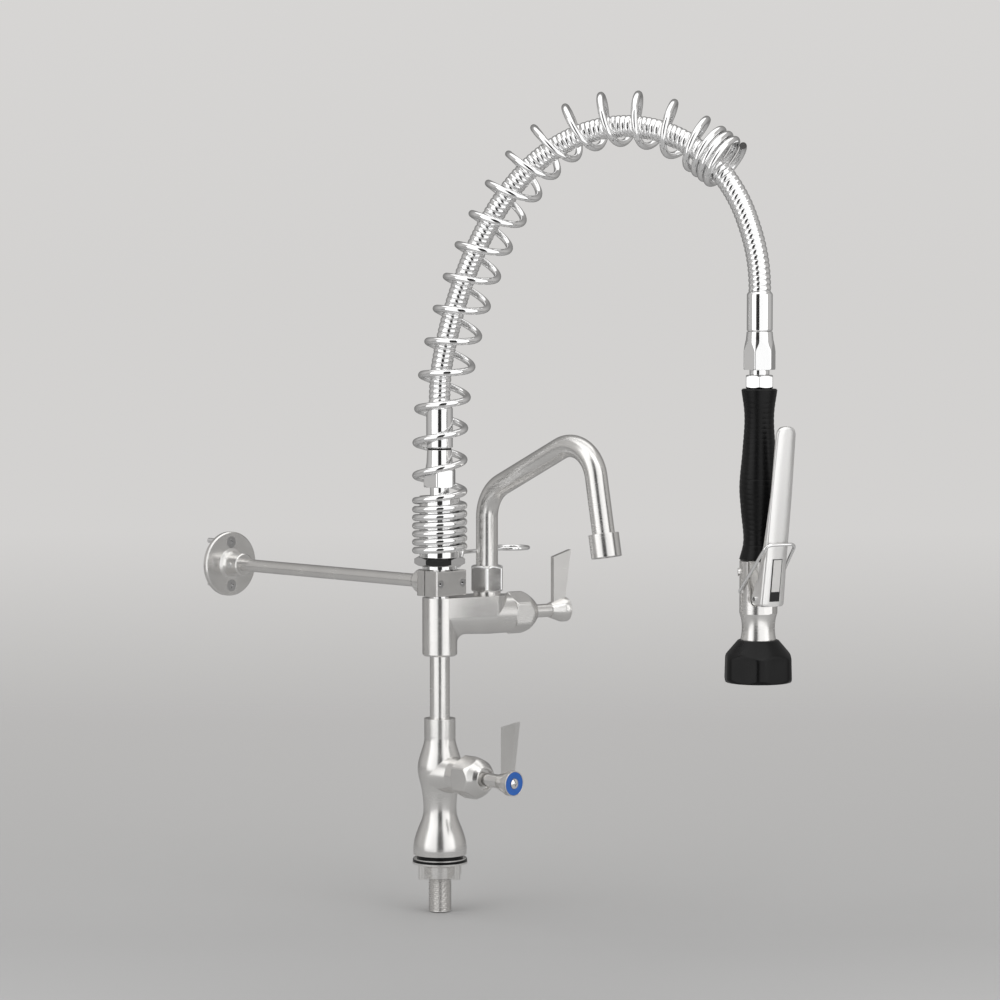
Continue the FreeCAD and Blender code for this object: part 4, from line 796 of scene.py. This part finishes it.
class MakeBonnets(bpy.types.Operator):
    """The two valve bonnets: a hexagon, a dome and a recess round the stem"""
    bl_idname = "faucet.bonnets"
    bl_label = "Valve bonnets"

    LONG = 0.0296
    OUTLINE = [(0.0094, 0), (0.0150, 0), (0.0152, 0.0008), (0.0166, 0.0010), (0.0198, 0.0030),
               (0.0198, 0.0166), (0.0172, 0.0212), (0.0136, 0.0262), (0.0108, 0.0293), (0.0094, LONG),
               (0.0092, 0.0262), (0.0062, 0.026), (0.0062, 0.0122), (0.0094, 0.0122)]

    def execute(self, context):
        for node, way in (("lower_bonnet", LOWER_WAY), ("upper_bonnet", ARM)):
            base = centre(node) - way * self.LONG / 2
            hex_nut(node, "fixed", self.OUTLINE, 0.034, math.radians(30), way, base, UP, "satin_steel")
        return {"FINISHED"}


class MakeGrip(bpy.types.Operator):
    """The ribbed rubber grip of the spray valve"""
    bl_idname = "faucet.grip"
    bl_label = "Grip"

    BORE = 0.00805
    LIP = 0.0012            # rounded edge of each end
    PLAIN = 0.006           # the ribs begin this far from each end, and reach full depth as far again
    OUTLINE = [(0.0157, 0.1489), (0.0129, 0.1245), (0.0145, 0.0955), (0.0170, 0.0655), (0.0157, 0.0435),
               (0.0134, 0.0175), (0.0170, 0.0)]

    def execute(self, context):
        # The smooth outline less a groove of rib_depth (1 - |sin(pi h / rib_pitch)|^0.35) at height h.
        size = context.scene.faucet_spray
        height = height_of("grip")
        line = smooth_profile(self.OUTLINE, 420)
        depth = np.minimum(line[:, 1], height - line[:, 1])
        share = np.clip((depth - self.PLAIN) / self.PLAIN, 0, 1)
        wave = np.abs(np.sin(np.pi * line[:, 1] / size.rib_pitch)) ** 0.35
        line[:, 0] -= size.rib_depth * (1 - wave) * share
        line[:, 1] = np.clip(line[:, 1], self.LIP, height - self.LIP)
        foot = [(self.BORE, 0), (line[-1, 0] - self.LIP, 0)]
        head = [(line[0, 0] - self.LIP, height), (self.BORE, height)]
        profile = np.concatenate([foot, line[::-1], head])
        sleeve = turned(on_axis("grip"), UP, LEVER_WAY, profile, 96, True)
        new_piece("grip_sleeve", sleeve, "spray_valve", "black_grip", ("grip",), 40)
        return {"FINISHED"}


class MakeBumper(bpy.types.Operator):
    """The six-sided rubber bumper round the spray face, its corners rounded and its top a cone"""
    bl_idname = "faucet.bumper"
    bl_label = "Bumper"

    OUTLINE = [(0.0210, 0), (0.0290, 0), (0.0316, 0.0030), (0.0312, 0.0210), (0.0176, 0.0370),
               (0.01545, 0.0370), (0.01545, 0.0320), (0.0131, 0.0320), (0.0131, 0.0101), (0.0210, 0.0101)]
    FLARE = 0.02            # share by which the flats stand further out at the foot
    FLARE_TOP = 0.02        # height at which the flare ends
    BLEND = 60.0            # the higher, the sharper the edge where flats meet the turned outline

    def execute(self, context):
        size = context.scene.faucet_spray
        line = dense(closed_rounded(self.OUTLINE, 0.0016), 0.0006)
        x, y, z = frame_of(UP, LEVER_WAY)
        angle = angles(240)
        limit = self.hexagon(angle, size.bumper * (1 - self.FLARE), size.bumper_edge)[None]
        limit = limit * (1 + self.FLARE * np.clip(1 - line[:, 1:] / self.FLARE_TOP, 0, 1))
        radius = (line[:, :1] ** -self.BLEND + limit ** -self.BLEND) ** (-1 / self.BLEND)
        spokes = np.cos(angle)[:, None] * x + np.sin(angle)[:, None] * y
        base = on_axis("spray_bumper")
        points = base + radius[..., None] * spokes + line[:, 1, None, None] * z
        new_piece("bumper_ring", grid_shell(points, wrap_rows=True), "spray_valve", "black_rubber",
                  ("spray_bumper",), 40)
        return {"FINISHED"}

    @staticmethod
    def hexagon(angle, flat, edge):
        """Distance to a hexagon's edge by angle, its corners replaced by arcs of radius edge: at angle t from
        the corner, c cos t + sqrt(edge^2 - c^2 sin^2 t), where c is how far out the arc's middle lies."""
        side = math.pi / 3
        t = np.abs((angle + side / 2) % side - side / 2)
        straight = flat / np.cos(t)
        middle = (flat - edge) / math.cos(side / 2)
        off = side / 2 - t
        arc = middle * np.cos(off) + np.sqrt(np.maximum(edge ** 2 - (middle * np.sin(off)) ** 2, 0))
        return np.where(straight * np.sin(t) > (flat - edge) * math.tan(side / 2), arc, straight)


class MakeSoftEdges(bpy.types.Operator):
    """Machined and cast pieces with their edges broken"""
    bl_idname = "faucet.soft_edges"
    bl_label = "Soft edges"

    def execute(self, context):
        for node, width, body in (("clamp_rear", 0.0006, "fixed"), ("spout_collar", 0.0005, "spout"),
                                  ("lower_handle", 0.0007, "lower_handle"),
                                  ("upper_handle", 0.0007, "upper_handle")):
            softened(node, width, body, "satin_steel")
        return {"FINISHED"}


def on_lever(points):
    """Points given as (distance toward the lever, across, height) about the spray valve's axis."""
    points = np.asarray(points, float)
    origin = on_axis("swivel_nut", 0.0)
    return origin + points[..., :1] * LEVER_WAY + points[..., 1:2] * VALVE_SIDE + points[..., 2:] * UP


class MakeLever(bpy.types.Operator):
    """The squeeze lever, a channel open toward the grip with ears at its pivot, and its blank plate"""
    bl_idname = "faucet.lever"
    bl_label = "Lever"

    FOOT, TOP, END = 0.2385, 0.398, 0.395       # heights of its foot, of its lines' top and of its end
    FOOT_HALF, TOP_HALF = 0.0124, 0.0096        # half its width
    FACE, FACE_LEAN = 0.0230, 0.0210            # the face's distance out at the foot, and what the top adds
    CORNER, CROWN = 0.0028, 0.0085              # rounding of the foot's corners, and height of the round top
    EDGE, LIP, SAG = 0.0035, 0.0016, 0.0007     # rounding of its long edges and tip, and fall of its face
    WALL, WEB = 0.0019, 0.0018                  # thickness of its sides and of its face
    EAR_OUT, EAR_Z, EAR_R = 0.0135, 0.245, 0.0066
    BACK = np.array([(0.00771, 0.24815), (0.0155, 0.2625), (0.0240, 0.2935), (0.0330, 0.3380),
                     (0.0395, 0.3980)])

    def face(self, z):
        """Where the outer face lies at this height."""
        return self.FACE + self.FACE_LEAN * (z - self.FOOT) / (self.TOP - self.FOOT)

    def half(self, z, inset):
        """Half the width: tapered, a slightly square half circle at the top, a rounded corner at the foot."""
        foot, top = self.FOOT_HALF - inset, self.TOP_HALF - inset
        width = foot + (top - foot) * (z - self.FOOT) / (self.TOP - self.TOP_HALF - self.FOOT)
        over = np.clip((z - self.END + self.CROWN) / (self.CROWN - inset), 0, 1)
        width = width * (1 - over ** 2.5) ** (1 / 2.5)
        under = np.clip(self.FOOT + self.CORNER - z, 0, self.CORNER)
        return width - (self.CORNER - np.sqrt(self.CORNER ** 2 - under ** 2))

    def back(self, z):
        """The back edge of the two sides: a round ear about the pivot, then four runs up to the top."""
        above = np.interp(z, self.BACK[:, 1], self.BACK[:, 0])
        ear = self.EAR_OUT - np.sqrt(np.maximum(self.EAR_R ** 2 - (z - self.EAR_Z) ** 2, 0))
        return np.where(z < self.BACK[0, 1], ear, above)

    def section(self, z, inset, web):
        """One row of the channel's outer or inner surface per height, from one back edge round to the other:
        a side, a quarter turn, a face that falls away as the fourth power of the share across, and back."""
        half = np.maximum(self.half(z, inset), 0.0002)[:, None]
        over = np.clip(z - (self.END - self.LIP), 0, self.LIP)
        tip = self.LIP - np.sqrt(self.LIP ** 2 - over ** 2)
        front = (self.face(z) - web - tip)[:, None]
        back = self.back(z)[:, None]
        corner = np.minimum(np.minimum(self.EDGE - inset, 0.7 * half), 0.45 * (front - back))
        turn = np.linspace(0, np.pi / 2, 8)
        side = np.linspace(0, 1, 8)[:-1]
        across = np.linspace(-1, 1, 25)[1:-1]
        side_out = back + (front - corner - self.SAG - back) * side
        turn_out = front - self.SAG - corner * (1 - np.sin(turn))
        turn_in = corner * (1 - np.cos(turn))
        face_out = front - self.SAG * np.abs(across) ** 4
        out = np.concatenate([side_out, turn_out, face_out, turn_out[:, ::-1], side_out[:, ::-1]], 1)
        wide = np.concatenate([-half + 0 * side, turn_in - half, (half - corner) * across,
                               (half - turn_in)[:, ::-1], half + 0 * side], 1)
        return np.stack([out, wide, np.broadcast_to(z[:, None], out.shape)], -1)

    def execute(self, context):
        ease = np.linspace(0, np.pi / 2, 12)
        z = np.concatenate([self.FOOT + self.CORNER * (1 - np.cos(ease)),
                            np.linspace(self.FOOT + 0.003, self.END - 0.009, 110),
                            self.END - self.CROWN + (self.CROWN - 0.00001) * np.sin(ease)])
        outer = self.section(z, 0.0, 0.0)
        inner = self.section(z, self.WALL, self.WEB)
        closed = z > self.END - self.WALL
        inner[closed, :, 0] = self.back(z[closed])[:, None] + 0.00002
        points = on_lever(np.concatenate([outer, inner[:, ::-1]], 1))
        new_piece("lever_shell", grid_shell(points), "lever", "lever_satin", ("lever",), 45)
        self.plate()
        return {"FINISHED"}

    def plate(self):
        """A blank label plate: a dark rim, a bright field and a dark block, told apart by an attribute."""
        bottom, top, half, thick = 0.243, 0.280, 0.0048, 0.0006
        rim, block, bedded = 0.0006, 0.0085, 0.00002
        across = [-half, -half + rim, half - rim, half]
        heights = [bottom, bottom + block, top - rim, top]
        front = np.array([[(self.face(z) + thick - bedded, y, z) for y in across] for z in heights])
        rear = front - np.array([thick, 0, 0])
        grid = np.arange(16).reshape(4, 4)
        quads = [[grid[i, j], grid[i, j + 1], grid[i + 1, j + 1], grid[i + 1, j]]
                 for i in range(3) for j in range(3)]
        faces = quads + [[v + 16 for v in q[::-1]] for q in quads]
        edge = [*grid[0], *grid[1:, 3], *grid[3, 2::-1], *grid[2:0:-1, 0]]
        faces += [[b, a, a + 16, b + 16] for a, b in zip(edge, edge[1:] + edge[:1])]
        shell = outward(on_lever(np.concatenate([front, rear]).reshape(-1, 3)), np.array(faces))
        plate = new_piece("label_plate", shell, "lever", "plaque", ("lever_plaque",), 30)
        bright = 4          # the middle one of the front's nine faces
        ink = plate.data.attributes.new("ink", "FLOAT", "FACE")
        ink.data.foreach_set("value", [float(k != bright) for k in range(len(faces))])


class MakeHandleEnds(bpy.types.Operator):
    """The index ring, the rim round it and the domed cross-head screw at the end of each handle"""
    bl_idname = "faucet.handle_ends"
    bl_label = "Handle ends"

    SEAT = 0.0018           # thickness of the frame's index ring, whose outer face the screw's head sits on
    RING = [(0.0048, 0), (0.0104, 0), (0.0104, 0.0012), (0.0101, 0.0015), (0.0052, 0.0015), (0.0048, 0.0013)]
    RIM = [(0.01042, 0.0001), (0.01128, 0.0001), (0.01128, 0.0016), (0.01042, 0.0016)]
    HEAD_R, DOME, UNDER = 0.0044, 0.0012, 0.0011
    SHANK_R = 0.00195
    CROSS_HALF, CROSS_REACH, CROSS_DEEP = 0.00055, 0.0024, 0.0016

    def execute(self, context):
        for side, way in (("lower", LOWER_WAY), ("upper", ARM)):
            ring, screw, body = side + "_index_ring", side + "_handle_screw", side + "_handle"
            base = centre(ring) - way * self.SEAT / 2
            index = turned(base, way, UP, self.RING, 96, True)
            new_piece(side + "_index", index, body, "index_blue", (ring,), 40)
            rim = turned(base, way, UP, closed_rounded(self.RIM, 0.0003), 96, True)
            new_piece(side + "_hub_rim", rim, body, "satin_steel", (), 40)
            new_piece(side + "_screw", self.screw(base, way, self.length_of(screw, way)), body,
                      "polished_chrome", (screw,), 30)
        return {"FINISHED"}

    def length_of(self, node, way):
        """The box's depth along an axis, less what the head's level radius adds where the axis is skew."""
        depth = (high(node) - low(node))[1 if abs(way[1]) > 0.9 else 0]
        skew = min(abs(way[0]), abs(way[1]))
        return (depth - 2 * self.HEAD_R * skew) / max(abs(way[0]), abs(way[1]))

    def screw(self, base, way, length):
        """A shank and a dome of height h (1 - (r/R)^2), with a cross sunk where the smaller offset is under
        its half width."""
        x, y, z = frame_of(way, UP)
        columns = 120
        angle = angles(columns)
        rows = np.concatenate([np.linspace(0.0001, 0.0030, 30), [0.0036, 0.0041, self.HEAD_R]])[:, None]
        across, up = rows * np.cos(angle), rows * np.sin(angle)
        dome = self.DOME * (1 - (rows / self.HEAD_R) ** 2)
        arm = np.minimum(np.abs(across), np.abs(up))
        sink = np.clip((self.CROSS_HALF - arm) / 0.0002, 0, 1)
        sink = sink * np.clip((self.CROSS_REACH - rows) / 0.0005, 0, 1)
        outer = [np.stack([across, up, dome - self.CROSS_DEEP * sink + 0.0001], -1)]
        foot = self.SEAT - length + 0.0004
        for radius, height in ((self.HEAD_R, -self.UNDER), (self.SHANK_R, -self.UNDER), (self.SHANK_R, foot)):
            ring = [radius * np.cos(angle), radius * np.sin(angle), np.full(columns, height)]
            outer.append(np.stack(ring, -1)[None])
        local = np.concatenate(outer)
        points = base + self.SEAT * z + local[..., :1] * x + local[..., 1:2] * y + local[..., 2:] * z
        return grid_shell(points)


class MakeShank(bpy.types.Operator):
    """The threaded inlet shank"""
    bl_idname = "faucet.shank"
    bl_label = "Inlet shank"

    OUTER, BORE, NECK = 0.010478, 0.0065, 0.010
    PITCH, DEEP, CHAMFER = 0.001814, 0.00105, 0.0012
    THREAD_TOP, FADE = -0.0145, 0.0012      # where the thread ends, and the length over which it fades
    SHY = 0.00001                           # keeps the crests inside the frame's shank

    def execute(self, context):
        # The thread is a groove at height z and turn a, deepest halfway through each turn of z / pitch - a.
        bottom, top = low("inlet_shank")[2], high("inlet_shank")[2]
        columns = 64
        turn = np.arange(columns) / columns
        z = np.linspace(bottom + 0.0008, self.THREAD_TOP, 260)
        phase = (z[:, None] / self.PITCH - turn) % 1.0
        groove = 1 - np.abs(2 * phase - 1)
        inset = np.clip(1.25 * groove - 0.12, 0, 1) * self.DEEP
        ends = np.clip(np.minimum(z - z[0], z[-1] - z) / self.FADE, 0, 1)[:, None]
        crest = self.OUTER - self.SHY
        rows = [np.full(columns, self.BORE), np.full(columns, self.OUTER - self.CHAMFER)]
        rows += list(crest - inset * ends)
        rows += [np.full(columns, r) for r in (crest, self.NECK, self.NECK, self.BORE)]
        radius = np.array(rows)
        heights = np.array([bottom, bottom, *z, -0.0001, 0.0, top, top])
        angle = 2 * np.pi * turn
        points = np.stack([radius * np.cos(angle), radius * np.sin(angle),
                           np.broadcast_to(heights[:, None], radius.shape)], -1)
        shell = grid_shell(points, wrap_rows=True)
        new_piece("threaded_shank", shell, "fixed", "satin_steel", ("inlet_shank",), 30)
        return {"FINISHED"}


class MakeFerrules(bpy.types.Operator):
    """The two ferrules crimped on the hose"""
    bl_idname = "faucet.ferrules"
    bl_label = "Ferrules"

    def execute(self, context):
        for node, bore in (("lower_ferrule", 0.0055), ("upper_ferrule", 0.0050)):
            height = height_of(node)
            wide = (high(node)[0] - low(node)[0]) / 2
            line = [(bore, 0), (wide - 0.0010, 0), (wide, 0.0010), (wide, height - 0.0016),
                    (wide - 0.0014, height), (0.0100, height), (bore, height - 0.006)]
            line = dense(closed_rounded(line, 0.0009, 7), 0.002)
            shell = turned(on_axis(node), UP, LEVER_WAY, line, 96, True)
            new_piece(node + "_shell", shell, "overhead", "polished_chrome", (node,), 60)
        return {"FINISHED"}


class MakeBail(bpy.types.Operator):
    """The wire bail that holds the lever down"""
    bl_idname = "faucet.bail"
    bl_label = "Hold-open bail"

    HINGE, PIN = 0.0189, 0.0056         # half its width at the hinge, and how far its ends reach in
    TIP, REACH = 0.0152, 0.056          # half its width at the tip, and its length
    ROOT_BEND, TIP_BEND = 0.002, 0.006
    PIVOT_Z, PIVOT_BACK = 0.250, 0.0022
    LEAN = math.radians(40)             # from upright toward the lever

    def execute(self, context):
        half = [(self.HINGE - self.PIN, 0), (self.HINGE, 0), (self.TIP, self.REACH)]
        corners = np.array(half + [(-y, z) for y, z in half[::-1]])
        line = arcs(corners, [self.ROOT_BEND, self.TIP_BEND, self.TIP_BEND, self.ROOT_BEND])
        origin = on_axis("swivel_nut", self.PIVOT_Z) - LEVER_WAY * self.PIVOT_BACK
        out = UP * math.cos(self.LEAN) + LEVER_WAY * math.sin(self.LEAN)
        path = origin + line[:, :1] * VALVE_SIDE + line[:, 1:] * out
        bail = swept(path, np.cross(VALVE_SIDE, out), context.scene.faucet_spray.bail_wire, 20)
        new_piece("bail_wire", bail, "hold_ring", "polished_chrome", ("hold_ring",), 60)
        return {"FINISHED"}


MAKERS = (MakeStage, DressFrame, MakeHose, MakeSpring, MakeNuts, MakeBonnets, MakeGrip, MakeBumper,
          MakeSoftEdges, MakeLever, MakeHandleEnds, MakeShank, MakeFerrules, MakeBail)
SETTINGS = {"faucet_finish": FaucetFinish, "faucet_spring": FaucetSpring, "faucet_hose": FaucetHose,
            "faucet_spray": FaucetSpray, "faucet_studio": FaucetStudio}


class FaucetPanel(bpy.types.Panel):
    """Every setting and every maker, in the sidebar"""
    bl_idname = "VIEW3D_PT_faucet"
    bl_label = "Pre-rinse faucet"
    bl_space_type = "VIEW_3D"
    bl_region_type = "UI"
    bl_category = "Faucet"

    def draw(self, context):
        for name, group in SETTINGS.items():
            box = self.layout.box()
            for field in group.__annotations__:
                box.prop(getattr(context.scene, name), field)
        for maker in MAKERS:
            self.layout.operator(maker.bl_idname)


def register():
    for group in (*SETTINGS.values(), *MAKERS, FaucetPanel):
        bpy.utils.register_class(group)
    for name, group in SETTINGS.items():
        setattr(bpy.types.Scene, name, PointerProperty(type=group))


def unregister():
    for name in SETTINGS:
        delattr(bpy.types.Scene, name)
    for group in reversed((*SETTINGS.values(), *MAKERS, FaucetPanel)):
        bpy.utils.unregister_class(group)


def main():
    register()
    bpy.ops.faucet.stage()
    bpy.ops.faucet.hose()
    bpy.ops.faucet.dress()
    bpy.ops.faucet.spring()
    bpy.ops.faucet.nuts()
    bpy.ops.faucet.bonnets()
    bpy.ops.faucet.grip()
    bpy.ops.faucet.bumper()
    bpy.ops.faucet.soft_edges()
    bpy.ops.faucet.lever()
    bpy.ops.faucet.handle_ends()
    bpy.ops.faucet.shank()
    bpy.ops.faucet.ferrules()
    bpy.ops.faucet.bail()


if __name__ == "__main__":
    main()
